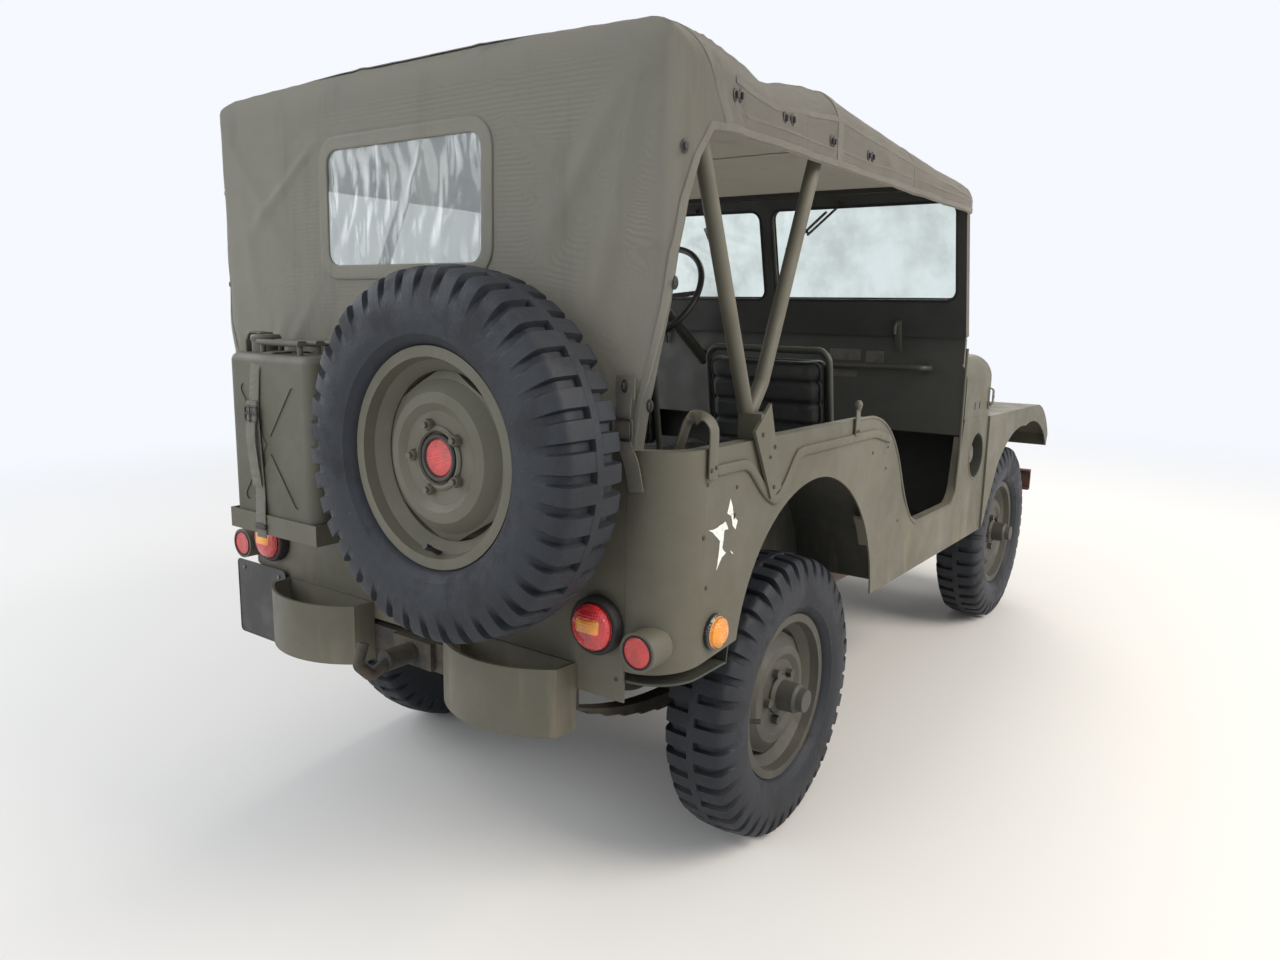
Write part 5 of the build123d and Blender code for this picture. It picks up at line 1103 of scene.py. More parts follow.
# %% Creased clear window
SEWN_IN = 0.006
ys, zs = np.meshgrid(np.linspace(-0.5, 0.5, 190), np.linspace(-0.5, 0.5, 100), indexing="ij")
draw = np.random.default_rng(5)
creased = 0.0022 * np.sin(ys * 25 + 1.3 * np.sin(zs * 5.0))
creased += 0.0012 * np.sin(ys * 52 + 2.1 * np.sin(zs * 7.0 + 1))
for _ in range(34):
    lean = draw.normal(0, 0.22)
    at_y, at_z = draw.uniform(-0.5, 0.5, 2)
    across = (ys - at_y) * WIDE * math.cos(lean) + (zs - at_z) * TALL * math.sin(lean)
    along_it = zs * TALL * math.cos(lean) - ys * WIDE * math.sin(lean)
    middle_at, half_run = draw.uniform(-0.12, 0.12), draw.uniform(0.05, 0.16)
    fade = np.clip(1 - ((along_it - middle_at) / half_run) ** 2, 0, 1) ** 1.5
    rise = draw.choice((-1, 1)) * draw.uniform(0.0012, 0.0034)
    creased += rise * fade * np.exp(-(across / draw.uniform(0.006, 0.020)) ** 2)
held = np.clip((0.5 - np.abs(ys)) * WIDE / 0.03, 0, 1) * np.clip((0.5 - np.abs(zs)) * TALL / 0.03, 0, 1)
pane_z = WINDOW_Z + zs * (TALL + SEWN_IN)
pane_x = curtain_x(pane_z) + 0.002 + creased * held * (2 - held)
pane_points, pane_quads = grid(on_car(np.stack([pane_x, ys * (WIDE + SEWN_IN), pane_z], -1)))
pane = piece("creased_window", (pane_points, pane_quads), VINYL, "car", 70.0)
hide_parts("rear_window")

# %% [markdown]
# Turn buttons close the top to its curtains: an oval plate with a raised bar that
# turns across it.  They sit in pairs along the valance and singly up the curtain's
# edge.  Near each corner the curtain is pulled down by a webbing strap, which hangs
# from a patch with a button, runs through a steel loop and ends on the body.

# %% Turn buttons and corner straps
def oval_plate(long, wide, thick):
    """Flat oval with a domed face, facing Y, long way up Z."""
    points, quads = spun([(0.5, 0), (0.5, 0.5), (0.42, 0.9), (0.25, 1.0), (0, 1.0)], 20)
    return points * (wide, thick, long), quads


turn_bar = slab((0.0052, 0.0135, 0.0062), 0.0015)
turn_bar = (turn_bar[0][:, (0, 2, 1)] + (0, 0.0046, 0), turn_bar[1][:, ::-1])
BUTTON = together([oval_plate(0.027, 0.016, 0.0022), turn_bar])


def on_sheet(x, y, z):
    """Nearest point of the canvas to a point, and the canvas's normal there."""
    gap = np.linalg.norm(loose - (x, y, z), axis=-1)
    i, j = np.unravel_index(np.argmin(gap), gap.shape)
    return loose[i, j], NORMALS[i, j]


# Columns: X, height; on both sides of the car
BUTTON_PLACES = [(-0.520, 1.736), (-0.497, 1.735), (-0.310, 1.724), (-0.288, 1.724), (-0.074, 1.719),
                 (-0.052, 1.718), (0.160, 1.716), (0.182, 1.715), (-0.684, 1.612), (-0.706, 1.370),
                 (-0.712, 1.134)]
buttons = []
for x, z in BUTTON_PLACES:
    for side in (1, -1):
        place, normal = on_sheet(x, side * TOP_HALF, z)
        buttons.append(on_body(BUTTON, place + 0.001 * normal, normal))
piece("turn_buttons", together(buttons), DARK_BOLT, "car", 35.0)

STRAP_Y = 0.660
straps, loops = [], []
for side in (1, -1):
    y = side * STRAP_Y
    hang = [(CURTAIN_X - 0.006, y, 1.165), (CURTAIN_X - 0.014, y, 1.110), (CURTAIN_X - 0.012, y, 1.060),
            (-0.7035, y * 1.01, 1.020), (-0.6975, y * 1.025, 0.958)]
    straps.append(carried(along(bent(hang, 0.02), 0.008), rounded(0.036, 0.0028, 0.0012, 2),
                          up=(-1, 0, 0.05)))
    patch = [(CURTAIN_X - 0.0045, y, 1.190), (CURTAIN_X - 0.0065, y, 1.145)]
    straps.append(carried(along(patch, 0.008), rounded(0.046, 0.004, 0.0012, 2), up=(-1, 0, 0)))
    loops.append(wire_loop((CURTAIN_X - 0.017, y, 1.086), 0.050, 0.042, 0.008, 0.0030, up=(-1, 0, 0.1)))
    loops.append(copies(BUTTON, [(CURTAIN_X - 0.008, y, 1.170)], facing((-1, 0, 0))))
piece("corner_straps", raked(straps), WEBBING, "car", 40.0)
piece("strap_loops", raked(loops), DARK_BOLT, "car", 35.0)

# %% [markdown]
# A seat pad is foam sewn into a cover that is a little too tight for it.  It could be
# modelled by hand, but blown-up cloth gives the true form: full in the middle, drawn
# in at the corners.  A rounded block is remeshed into even cells, swollen as cloth by
# a light pressure, and each point's way is capped.  Then it is scaled back to the
# size that the frame holds, and the sewn channels are pressed into it.

# %% Blow up a pad
def read_shape(mesh):
    """The arrays of a mesh that is all quads."""
    points, quads = np.empty(len(mesh.vertices) * 3), np.empty(len(mesh.loops), np.int32)
    mesh.vertices.foreach_get("co", points)
    mesh.loops.foreach_get("vertex_index", quads)
    return points.reshape(-1, 3), quads.reshape(-1, 4)


def result_of(obj):
    """Arrays of an object with its modifiers worked out."""
    ready = obj.evaluated_get(bpy.context.evaluated_depsgraph_get())
    mesh = bpy.data.meshes.new_from_object(ready)
    shape = read_shape(mesh)
    bpy.data.meshes.remove(mesh)
    return shape


def pad(size, voxel, cap, channels, gap, both=False):
    """Pad about the origin, its broad faces up and down.

    channels are places along X where a seam runs across; both presses them into the
    lower face too; gap is the half width of a seam's groove.
    """
    size = np.asarray(size, float)
    points, quads = slab(size * 0.95, size[2] * 0.30, 4)
    mesh = bpy.data.meshes.new("pad_start")
    mesh.from_pydata(points.tolist(), [], quads.tolist())
    work = bpy.data.objects.new("pad_start", mesh)
    bpy.context.scene.collection.objects.link(work)
    cells = work.modifiers.new("cells", "REMESH")
    cells.mode, cells.voxel_size = "VOXEL", voxel
    before, quads = result_of(work)
    work.modifiers.remove(cells)
    work.data = bpy.data.meshes.new("pad_cells")
    work.data.from_pydata(before.tolist(), [], quads.tolist())
    cloth = work.modifiers.new("swell", "CLOTH")
    cloth.settings.quality = 5
    cloth.settings.use_pressure = True
    cloth.settings.uniform_pressure_force = 4.0
    cloth.settings.effector_weights.gravity = 0.0
    for step in range(1, 21):
        bpy.context.scene.frame_set(step)
    swollen, _ = result_of(work)
    work.modifiers.remove(cloth)
    way = swollen - before
    far = np.linalg.norm(way, axis=1, keepdims=True)
    before = before + way * np.minimum(1, cap / np.maximum(far, 1e-9))
    work.data.vertices.foreach_set("co", before.astype(np.float32).ravel())
    work.data.update()
    finer = work.modifiers.new("finer", "SUBSURF")
    finer.levels = finer.render_levels = 1
    points, quads = result_of(work)
    bpy.data.objects.remove(work)
    low, high = points.min(0), points.max(0)
    points = (points - (low + high) / 2) * (size / (high - low))
    seam = sum(np.exp(-((points[:, 0] - c) / gap) ** 2) for c in channels)
    depth = 0.0085 * seam - 0.0030 * np.exp(-((points[:, 1] / size[1]) ** 4) * 40)
    upper = np.clip((points[:, 2] / size[2] - 0.12) / 0.2, 0, 1)
    lower = np.clip((-points[:, 2] / size[2] - 0.12) / 0.2, 0, 1) * both
    points[:, 2] += depth * (lower - upper)
    return points, quads


def welt(shape, size, height):
    """Piping round a pad where a level plane meets its side."""
    ring = along(np.concatenate([rounded(size[0] * 1.2, size[1] * 1.2, 0.05, 6), np.zeros((28, 1))], -1),
                 0.012)
    tree = BVHTree.FromPolygons(shape[0].tolist(), shape[1].tolist())
    path = []
    for x, y, _ in ring:
        start = Vector((x, y, height))
        hit = tree.ray_cast(start, Vector((-x, -y, 0)).normalized())[0]
        if hit is not None:
            path.append(hit)
    return carried(np.array(path), circle(0.0048, 8), closed=True)


# %% [markdown]
# Each front seat has a flat pad and a back that leans nine degrees; the back's seams
# run across both faces, because it is padded on both.  The bench behind has one wide
# pad and a thin back.  Seams are close together, so the leather shines in bands.

# %% Front seats and rear bench
LEAN = math.radians(9)
FLAT, BACK = (0.430, 0.4074, 0.1077), (0.330, 0.4074, 0.080)
LONG, LONG_BACK = (0.360, 0.960, 0.070), (0.250, 0.960, 0.060)


def leaning(shape, centre, lean):
    """Stand a pad on its edge: its X goes up, its upper face looks forward, and it leans back."""
    c, s = math.cos(lean), math.sin(lean)
    turn = np.array(((-s, 0, c), (0, 1.0, 0), (c, 0, s)))
    return shape[0] @ turn + np.asarray(centre), shape[1][:, ::-1]


flat_pad = pad(FLAT, 0.0095, 0.016, np.linspace(-0.13, 0.13, 4), 0.0075)
back_pad = pad(BACK, 0.0095, 0.014, np.linspace(-0.10, 0.10, 4), 0.0070, both=True)
long_pad = pad(LONG, 0.0130, 0.014, (), 0.0075)
long_back = pad(LONG_BACK, 0.0130, 0.012, (), 0.0075, both=True)
flat_pad = together([flat_pad, welt(flat_pad, FLAT, 0.026)])
back_pad = together([back_pad, welt(back_pad, BACK, 0.018), welt(back_pad, BACK, -0.018)])
long_pad = together([long_pad, welt(long_pad, LONG, 0.018)])
# Columns: name, Y, frame node, body
for name, y, node, carrier in (("driver", 0.330, "driver_seat_cushions", "car"),
                               ("passenger", -0.330, "passenger_seat_cushions", "passenger_seat_body")):
    points, quads = together([(flat_pad[0] + (0.735, 0, 0.776), flat_pad[1]),
                              leaning(back_pad, (0.5092, 0, 1.0180), LEAN)])
    made = piece(f"{name}_seat_pads", (on_car(points + (0, y, 0)), quads), SEAT, carrier, 60.0)
    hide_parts(node)
points, quads = together([(long_pad[0] + (-0.240, 0, 0.795), long_pad[1]),
                          leaning(long_back, (-0.470, 0, 0.975), 0.0)])
bench = piece("rear_bench_pads", (on_car(points), quads), SEAT, "car", 60.0)
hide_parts("rear_bench_cushions")
print("seat pads", len(made.data.polygons), "and", len(bench.data.polygons), "faces")

# %% [markdown]
# Each tail lamp is a red dome seated in a black rubber rim, with an oblong amber
# window let into it.  The round reflectors beside them sit sunk in their olive cups,
# and a rubber ring holds each disc.  All are turned about the car's length: a
# profile about Y is set facing the rear.

# %% Rims and windows of the lamps, reflector discs
REAR_X, LAMP_Y, LAMP_Z = -0.6903, 0.584, 0.662
CUP_X, CUP_Y, CUP_Z = -0.723, 0.704, 0.634
REAR = (-1.0, 0, 0)
rim_profile = [(0.0565, 0.000), (0.0625, 0.000), (0.0635, 0.006), (0.0630, 0.022), (0.0600, 0.027),
               (0.0550, 0.028), (0.0515, 0.0262), (0.0500, 0.020)]
rubber_rim = spun(rim_profile, 56)
disc_ring = spun([(0.0362, 0.0005), (0.0362, 0.0060), (0.0345, 0.0072), (0.0325, 0.0064),
                  (0.0318, 0.0040)], 48)
disc = spun([(0.0325, 0.0042), (0.0310, 0.0052), (0.0200, 0.0060), (0, 0.0064)], 48)
oblong = rounded(0.060, 0.030, 0.006, 4)
fan = np.array((1.0, 1.0, 0.96, 0.7, 0.35, 0.0))[:, None, None] * oblong[None]
proud = np.array((-0.0020, 0.0006, 0.0014, 0.0017, 0.0018, 0.0018))
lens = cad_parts["tail_lamps"]
lens_tree = BVHTree.FromPolygons([lens.matrix_world @ v.co for v in lens.data.vertices],
                                 [p.vertices for p in lens.data.polygons])


def lens_window(side):
    """Oblong window on one lens: each point is found by a ray from behind, and lies a little proud."""
    x, ahead = CAD_LOW[0] - 0.2, Vector((1, 0, 0))
    centre = on_car((REAR_X - 0.05, side * LAMP_Y, LAMP_Z + 0.006))
    rows = []
    for ring, out in zip(fan, proud):
        hits = [lens_tree.ray_cast(Vector((x, centre[1] + u, centre[2] + v)), ahead)[0] for u, v in ring]
        rows.append([(h.x - out, h.y, h.z) for h in hits])
    return grid(np.array(rows), close_v=True)


rims, windows, rings, discs = [], [], [], []
for side in (1, -1):
    rims.append(on_body(rubber_rim, (REAR_X, side * LAMP_Y, LAMP_Z), REAR))
    windows.append(lens_window(side))
    rings.append(on_body(disc_ring, (CUP_X + 0.0045, side * CUP_Y, CUP_Z), REAR))
    discs.append(on_body(disc, (CUP_X + 0.0045, side * CUP_Y, CUP_Z), REAR))
piece("tail_lamp_rims", together(rims + rings), SEAL, "car", 35.0)
piece("tail_lamp_windows", together(windows), AMBER_LENS, "car", 30.0)
piece("reflector_discs", together(discs), RED_DISC, "car", 30.0)

SIDE_LAMP_X, SIDE_LAMP_FACE, SIDE_LAMP_Z = -0.528, 0.7743, 0.641
lamp_screws = [screw((SIDE_LAMP_X + dx, side * SIDE_LAMP_FACE, SIDE_LAMP_Z + dz), (0, side, 0), 0.0042,
                     sunk=0.001)
               for side in (1, -1) for dx, dz in ((0.006, 0.0365), (-0.006, -0.0365))]
lamp_screws += [screw((REAR_X - 0.034, side * LAMP_Y + dy, LAMP_Z), REAR, 0.0035, 0.0020, 0.001)
                for side in (1, -1) for dy in (-0.0455, 0.0455)]
piece("lamp_screws", together(lamp_screws), HARNESS, "car", 35.0)

head_rim = spun([(0.0980, 0.000), (0.1080, 0.000), (0.1085, 0.007), (0.1050, 0.0125), (0.1000, 0.0135),
                 (0.0965, 0.010)], 72)
HEADLAMP_Y = 0.345
grille_face, lamp_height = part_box("grille")[1][0], middle("headlamps")[2]
head_rims = [copies(head_rim, [(grille_face - 0.004, side * HEADLAMP_Y, lamp_height + 0.004)],
                    facing((math.cos(RAKE), 0, -math.sin(RAKE)))) for side in (1, -1)]
piece("headlamp_rims", together(head_rims), PAINT, "car", 40.0)

# %% [markdown]
# The fuel can is two pressed halves welded together, so a raised seam runs round it.
# A webbing strap holds it down: it rises from the tray's rear wall, passes through a
# buckle, lies under the three handle bars and goes down behind.  A cap on a lever
# closes the spout.

# %% Fuel can: seam, strap, buckle and cap
CAN_X, CAN_Y, CAN_Z = -0.800, 0.290, 0.756
CAN_DEPTH, CAN_WIDTH, CAN_HEIGHT = 0.165, 0.345, 0.440
can_back, can_top = CAN_X - CAN_DEPTH / 2, CAN_Z + CAN_HEIGHT
outline = rounded(CAN_WIDTH, CAN_HEIGHT, 0.022, 8) + (CAN_Y, CAN_Z + CAN_HEIGHT / 2)
seam = carried(np.insert(outline, 0, CAN_X, axis=1), circle(0.0030, 8), closed=True, up=(1, 0, 0))
cap_rows = spun([(0.0345, 0.000), (0.0370, 0.004), (0.0370, 0.012), (0.0330, 0.0175), (0.0120, 0.0190),
                 (0, 0.0190)], 36)
cap = on_body(cap_rows, (CAN_X, CAN_Y + 0.125, can_top + 0.026), (0, 0, 1), (1, 0, 0))
lever_line = [(CAN_X, CAN_Y + 0.120, can_top + 0.046), (CAN_X, CAN_Y + 0.172, can_top + 0.049),
              (CAN_X, CAN_Y + 0.186, can_top + 0.030), (CAN_X, CAN_Y + 0.184, can_top - 0.004)]
lever = carried(along(bent(lever_line, 0.02), 0.005), rounded(0.034, 0.005, 0.002, 2), up=(0, 0.4, 1))
ear = copies(slab((0.060, 0.006, 0.040), 0.003), [(CAN_X, CAN_Y + 0.168, can_top + 0.012)])
grips = [carried(along([(CAN_X + dx, CAN_Y + dy, can_top + 0.0275) for dy in (-0.100, 0.070)], 0.03),
                 rounded(0.026, 0.013, 0.0055, 3)) for dx in (-0.050, 0.0, 0.050)]
fittings = raked([seam, lever, ear] + grips)
piece("can_fittings", together([fittings, cap]), PAINT_CAN, "car", 35.0)

strap_line = [(can_back - 0.0086, 0.330, 0.742), (can_back - 0.0086, 0.331, 0.806),
              (can_back - 0.0035, 0.334, 0.845), (can_back - 0.0045, 0.345, 1.055),
              (can_back - 0.0020, 0.334, 1.172), (CAN_X - 0.055, 0.326, can_top + 0.0035),
              (CAN_X + 0.055, 0.322, can_top + 0.0035), (CAN_X + 0.0865, 0.320, 1.165),
              (CAN_X + 0.0865, 0.318, 0.860)]
line = along(bent(strap_line, 0.022), 0.007)
ups = unit(line - (CAN_X, 0.330, 1.000)) * (1, 0.2, 1)
ups[:, 2] = np.where(line[:, 2] > can_top - 0.012, ups[:, 2], 0)


def ribbon(path, outward, width, thick, sizes=1.0):
    """A flat strap along a path, its face turned to the outward direction of each point."""
    ahead = unit(np.gradient(path, axis=0))
    side = unit(np.cross(ahead, outward))
    face = np.cross(side, ahead)
    section = rounded(width, thick, thick * 0.45, 2)
    ring = section[None, :, :1] * side[:, None] + section[None, :, 1:] * face[:, None]
    points = path[:, None] + ring * np.reshape(sizes, (-1, 1, 1))
    ends = [np.broadcast_to(path[i], points[:1].shape) for i in (0, -1)]
    return grid(np.concatenate([ends[0], points, ends[1]]), close_v=True, flip=True)


strap = ribbon(line, unit(ups), 0.040, 0.0030)
folded = ribbon(along([(can_back - 0.0095, 0.3445, 1.040), (can_back - 0.0080, 0.3455, 1.082)], 0.006),
                REAR, 0.042, 0.0036)
tail_line = [(can_back - 0.0105, 0.346, 1.046), (can_back - 0.018, 0.344, 1.000),
             (can_back - 0.014, 0.341, 0.930), (can_back - 0.0085, 0.338, 0.870)]
tail = ribbon(along(bent(tail_line, 0.03), 0.007), REAR, 0.038, 0.0026)
piece("can_strap", raked([strap, folded, tail]), WEBBING, "car", 45.0)

BUCKLE = np.array((can_back - 0.0125, 0.345, 1.050))
buckle = wire_loop(BUCKLE, 0.048, 0.036, 0.006, 0.0028)
bars = [carried(along(BUCKLE + [(-0.001, -0.024, dz), (-0.001, 0.024, dz)], 0.01), circle(0.0024, 8), up=REAR)
        for dz in (0.0, -0.018)]
tongue = carried(along(BUCKLE + [(-0.003, 0, 0.018), (-0.004, 0, -0.020)], 0.006), circle(0.0020, 8), up=REAR)
foot_loop = copies(slab((0.007, 0.044, 0.014), 0.003), [(can_back - 0.0110, 0.330, 0.770)])
piece("can_buckle", raked([buckle, tongue, foot_loop] + bars), DARK_BOLT, "car", 35.0)
print("can strap", round(float(np.linalg.norm(np.diff(line, axis=0), axis=1).sum()), 3), "m long")

# %% [markdown]
# Small steel is bolted to the rail all round: a bent flat bar behind each bow foot
# and a latch post before the door.  Each is a flat section carried along a short bent
# line, so its corners have the bend radius of real bar, and its bolts are set one by
# one where the photograph shows them.

# %% Rail brackets, latch posts and bow foot bolts
SIDE_Y, BAR_OUT = 0.765, 0.0072
# Columns: X, height, radius, distance out from the side panel
BRACKET_SCREWS = [(-0.571, 0.997, 0.0048, 0.0092), (-0.553, 1.001, 0.0048, 0.0092),
                  (0.176, 1.010, 0.0042, 0.0092), (0.189, 1.011, 0.0042, 0.0092),
                  (-0.303, 1.019, 0.0052, 0.0132), (-0.324, 0.998, 0.0040, 0.0132),
                  (-0.363, 1.052, 0.0052, 0.0132), (-0.300, 0.926, 0.0048, 0.0132)]
FLAT_BAR = rounded(0.034, 0.0045, 0.0018, 2)
brackets, bolts = [], []
for side in (1, -1):
    hoop = [(-0.562, side * (SIDE_Y + BAR_OUT), 0.978), (-0.562, side * (SIDE_Y + BAR_OUT), 1.086),
            (-0.567, side * (SIDE_Y - 0.012), 1.108), (-0.573, side * (SIDE_Y - 0.050), 1.098),
            (-0.577, side * (SIDE_Y - 0.070), 1.030)]
    brackets.append(carried(along(bent(hoop, 0.016), 0.005), FLAT_BAR, up=(0, side, 0.35)))
    post = [(0.182, side * (SIDE_Y + BAR_OUT), 0.998), (0.182, side * (SIDE_Y + BAR_OUT), 1.070)]
    brackets.append(carried(along(post, 0.01), rounded(0.026, 0.0045, 0.0018, 2), up=(0, side, 0.0)))
    eye = [(0.182, side * (SIDE_Y + BAR_OUT), 1.066), (0.182, side * (SIDE_Y + BAR_OUT), 1.094)]
    brackets.append(carried(along(eye, 0.004), circle(0.0085, 14), up=(0, side, 0),
                            sizes=(0.75, 0.9, 1.0, 1.15, 1.3, 1.25, 1.0, 0.6)))
    bolts += [screw((x, side * (SIDE_Y + out), z), (0, side, 0), radius, 0.0030)
              for x, z, radius, out in BRACKET_SCREWS]
piece("rail_brackets", raked(brackets), PAINT, "car", 40.0)

# %% [markdown]
# Two pressed lines give the side its look.  A rounded bead runs under the rail, dips
# behind the foot of the bow and goes on to the door opening, and fades out at both
# ends.  The door opening has a rolled lip, whose curve is drawn through three
# measured points at each bend.

# %% Pressed bead and rolled door lip
BEAD = [(-0.560, 0.992), (-0.404, 0.992), (-0.322, 0.915), (-0.262, 0.884), (-0.214, 0.925), (-0.160, 0.990),
        (0.330, 0.992), (0.452, 0.962)]
bead_line = along(bent([(x, 0, z) for x, z in BEAD], 0.032, 8), 0.005)
bead_normals = np.tile((0, 1.0, 0), (len(bead_line), 1))
bead_line[:, 1] = SIDE_Y + 0.0022
from_rear = np.arange(len(bead_line))
bead_sizes = np.clip(np.minimum((from_rear + 1.5) / 7, (len(bead_line) - from_rear + 0.5) / 7), 0, 1) ** 0.6


def through(first, middle_point, last, steps=14):
    """Smooth curve from the first point to the last, through a middle one."""
    a, b, c = (np.array(p, float) for p in (first, middle_point, last))
    t = np.linspace(0, 1, steps)[:, None]
    return (1 - t) ** 2 * a + 2 * t * (1 - t) * (2 * b - (a + c) / 2) + t**2 * c


STEP_Z = 0.662
lip = np.concatenate([[(0.180, 1.0395), (0.284, 1.0395)],
                      through((0.284, 1.0395), (0.445, 0.990), (0.560, 0.849)),
                      through((0.560, 0.849), (0.650, 0.715), (0.734, STEP_Z)),
                      through((1.076, STEP_Z), (1.124, 0.695), (1.138, 0.742)),
                      [(1.1485, 0.830), (1.1485, 1.215)]])
lip = along(np.stack([lip[:, 0], 0 * lip[:, 0] + SIDE_Y - 0.0015, lip[:, 1]], -1), 0.008)
pressed = []
for side in (1, -1):
    flip_y = np.array((1, side, 1))
    pressed.append(ribbon(bead_line * flip_y, bead_normals * flip_y, 0.024, 0.0105, bead_sizes))
    pressed.append(carried(lip * flip_y, circle(0.0048, 10), up=(0, side, 0)))
piece("pressed_lines", raked(pressed), PAINT_SIDES, "car", 60.0)

# %% [markdown]
# Round black screws are left in the side panels where fittings were taken off.  They
# are one domed profile, copied to a table of places.

# %% Screws in the sides and the rear
# Columns: X, height, radius; on both sides of the car
SIDE_SCREWS = [(-0.569, 0.966, 0.0045), (-0.448, 0.945, 0.0045), (-0.578, 0.856, 0.0055),
               (-0.563, 0.745, 0.0050), (0.324, 0.936, 0.0045), (0.439, 0.941, 0.0040),
               (0.434, 0.879, 0.0045), (0.560, 0.700, 0.0040), (-0.452, 0.884, 0.0038)]
for x, z, radius in SIDE_SCREWS:
    for side in (1, -1):
        bolts.append(screw((x, side * SIDE_Y, z), (0, side, 0), radius))
for side in (1, -1):
    bolts.append(screw((-0.690, side * 0.628, 0.548), REAR, 0.0045))
    for x in (1.292, 1.350):
        bolts.append(on_body(slab((0.010, 0.0030, 0.026), 0.0014), (x, side * (SIDE_Y + 0.0002), 1.004),
                             (0, side, 0)))
piece("side_screws", together(bolts), DARK_BOLT, "car", 35.0)

# %% [markdown]
# One scrap of an old white marking is left on the right rear quarter: four ragged
# shards and a fleck.  Each outline is filled by a fan from its own middle, and stands
# less than half a millimetre proud, about as thick as brushed paint that flakes.

# %% Scrap of an old white marking
SCRAP = dict(
    sliver=[(-0.474, 0.924), (-0.486, 0.893), (-0.472, 0.886), (-0.460, 0.888), (-0.463, 0.903)],
    drop=[(-0.470, 0.890), (-0.465, 0.874), (-0.461, 0.862), (-0.448, 0.851), (-0.440, 0.869),
          (-0.449, 0.877), (-0.458, 0.875), (-0.460, 0.888)],
    star=[(-0.561, 0.869), (-0.544, 0.867), (-0.527, 0.868), (-0.514, 0.872), (-0.503, 0.873),
          (-0.492, 0.877), (-0.484, 0.866), (-0.479, 0.857), (-0.490, 0.858), (-0.496, 0.857),
          (-0.498, 0.832), (-0.512, 0.836), (-0.522, 0.845), (-0.532, 0.852), (-0.545, 0.862)],
    spike=[(-0.498, 0.833), (-0.502, 0.821), (-0.494, 0.812), (-0.485, 0.806), (-0.495, 0.802),
           (-0.503, 0.799), (-0.512, 0.788), (-0.524, 0.774), (-0.519, 0.795), (-0.515, 0.815),
           (-0.513, 0.836)],
    fleck=[(-0.468, 0.808), (-0.461, 0.800), (-0.453, 0.797), (-0.459, 0.803)])
SCRAP_THICK = 0.0004
shards = [filled(np.insert(np.array(edge), 1, -SIDE_Y - SCRAP_THICK, axis=1), flip=True)
          for edge in SCRAP.values()]
WHITE, white_tree, white_shader = new_finish("white_scrap", 0.55)
worn_white = pick(white_tree, noise(white_tree, 90.0, 4.0), 0.45, 0.7)
coloured(white_tree, white_shader, mixed(white_tree, worn_white, (0.80, 0.80, 0.78, 1),
                                         (0.58, 0.56, 0.50, 1)))
bump(white_tree, white_shader, noise(white_tree, 300.0), 0.0003)
piece("white_scrap", raked(shards), WHITE, "car", 30.0)

# %% [markdown]
# The round recess in the right of the cowl holds a grey socket with a cap.  A bead of
# sheet metal turns out round its mouth, and a dark sheet, painted shade, covers its wall and bottom.
# All three are profiles spun about an axis square to the cowl's side; the socket's
# lies 12 mm nearer the rear than the recess's.

# %% Recess rim and socket
RECESS_X, RECESS_Z, RECESS_R = 1.352, 0.816, 0.082
mouth = spun([(RECESS_R - 0.0005, -0.002), (RECESS_R + 0.002, 0.0024), (RECESS_R + 0.006, 0.0034),
              (RECESS_R + 0.010, 0.0020), (RECESS_R + 0.012, -0.001)], 72)
well, well_quads = spun([(RECESS_R - 0.0012, 0.001), (RECESS_R - 0.0012, -0.054), (0.060, -0.0565),
                         (0.0, -0.0565)], 48)
socket = spun([(0.040, -0.057), (0.040, -0.026), (0.037, -0.022), (0.034, -0.022), (0.033, -0.016),
               (0.020, -0.0145), (0.018, -0.012), (0.0, -0.011)], 40)
RECESS_PLACE = (RECESS_X, -SIDE_Y, RECESS_Z)
piece("recess_mouth", on_body(mouth, RECESS_PLACE, (0, -1, 0)), PAINT, "car", 40.0)
# the recess's wall and bottom are dark olive: painted shade inside the recess
piece("recess_well", on_body((well, well_quads[:, ::-1]), RECESS_PLACE, (0, -1, 0)), SHADE, "car",
      40.0)
piece("recess_socket", on_body(socket, (RECESS_X - 0.012, -SIDE_Y, RECESS_Z + 0.004), (0, -1, 0)), HARNESS,
      "car", 40.0)

# %% [markdown]
# The number plate hangs below the left tail lamp: a thin black sheet with a rolled
# edge and nothing on it.

# %% Blank number plate
PLATE_Y, PLATE_Z, PLATE_WIDE, PLATE_HIGH = 0.646, 0.466, 0.238, 0.224
PLATE_X, PLATE_EDGE = -0.7035, 0.0036
plate_ring = rounded(PLATE_WIDE - 0.004, PLATE_HIGH - 0.004, 0.012, 4) + (PLATE_Y, PLATE_Z)
plate_ring = np.insert(plate_ring, 0, PLATE_X, axis=1)
plate_rim = carried(plate_ring, rounded(PLATE_EDGE, PLATE_EDGE, 0.0012, 2), closed=True, up=REAR)
plate_parts = [filled(plate_ring - (0.0004, 0, 0)), filled(plate_ring + (0.0016, 0, 0), flip=True),
               plate_rim]
piece("number_plate", raked(plate_parts), BLACK, "car", 40.0)
stay = [(-0.6955, PLATE_Y - 0.03, 0.560), (-0.7010, PLATE_Y - 0.03, 0.545), (-0.7010, PLATE_Y - 0.03, 0.420)]
stays = [carried(along(bent(np.add(stay, (0, dy, 0)), 0.006), 0.01), FLAT_BAR, up=REAR)
         for dy in (-0.055, 0.055)]
piece("plate_stays", raked(stays), PAINT, "car", 40.0)
plate_bolts = [screw((PLATE_X - 0.001, PLATE_Y + dy, PLATE_Z + 0.088), REAR, 0.006, 0.003, 0.001)
               for dy in (-0.085, 0.085)]
piece("plate_bolts", together(plate_bolts), HARNESS, "car", 35.0)

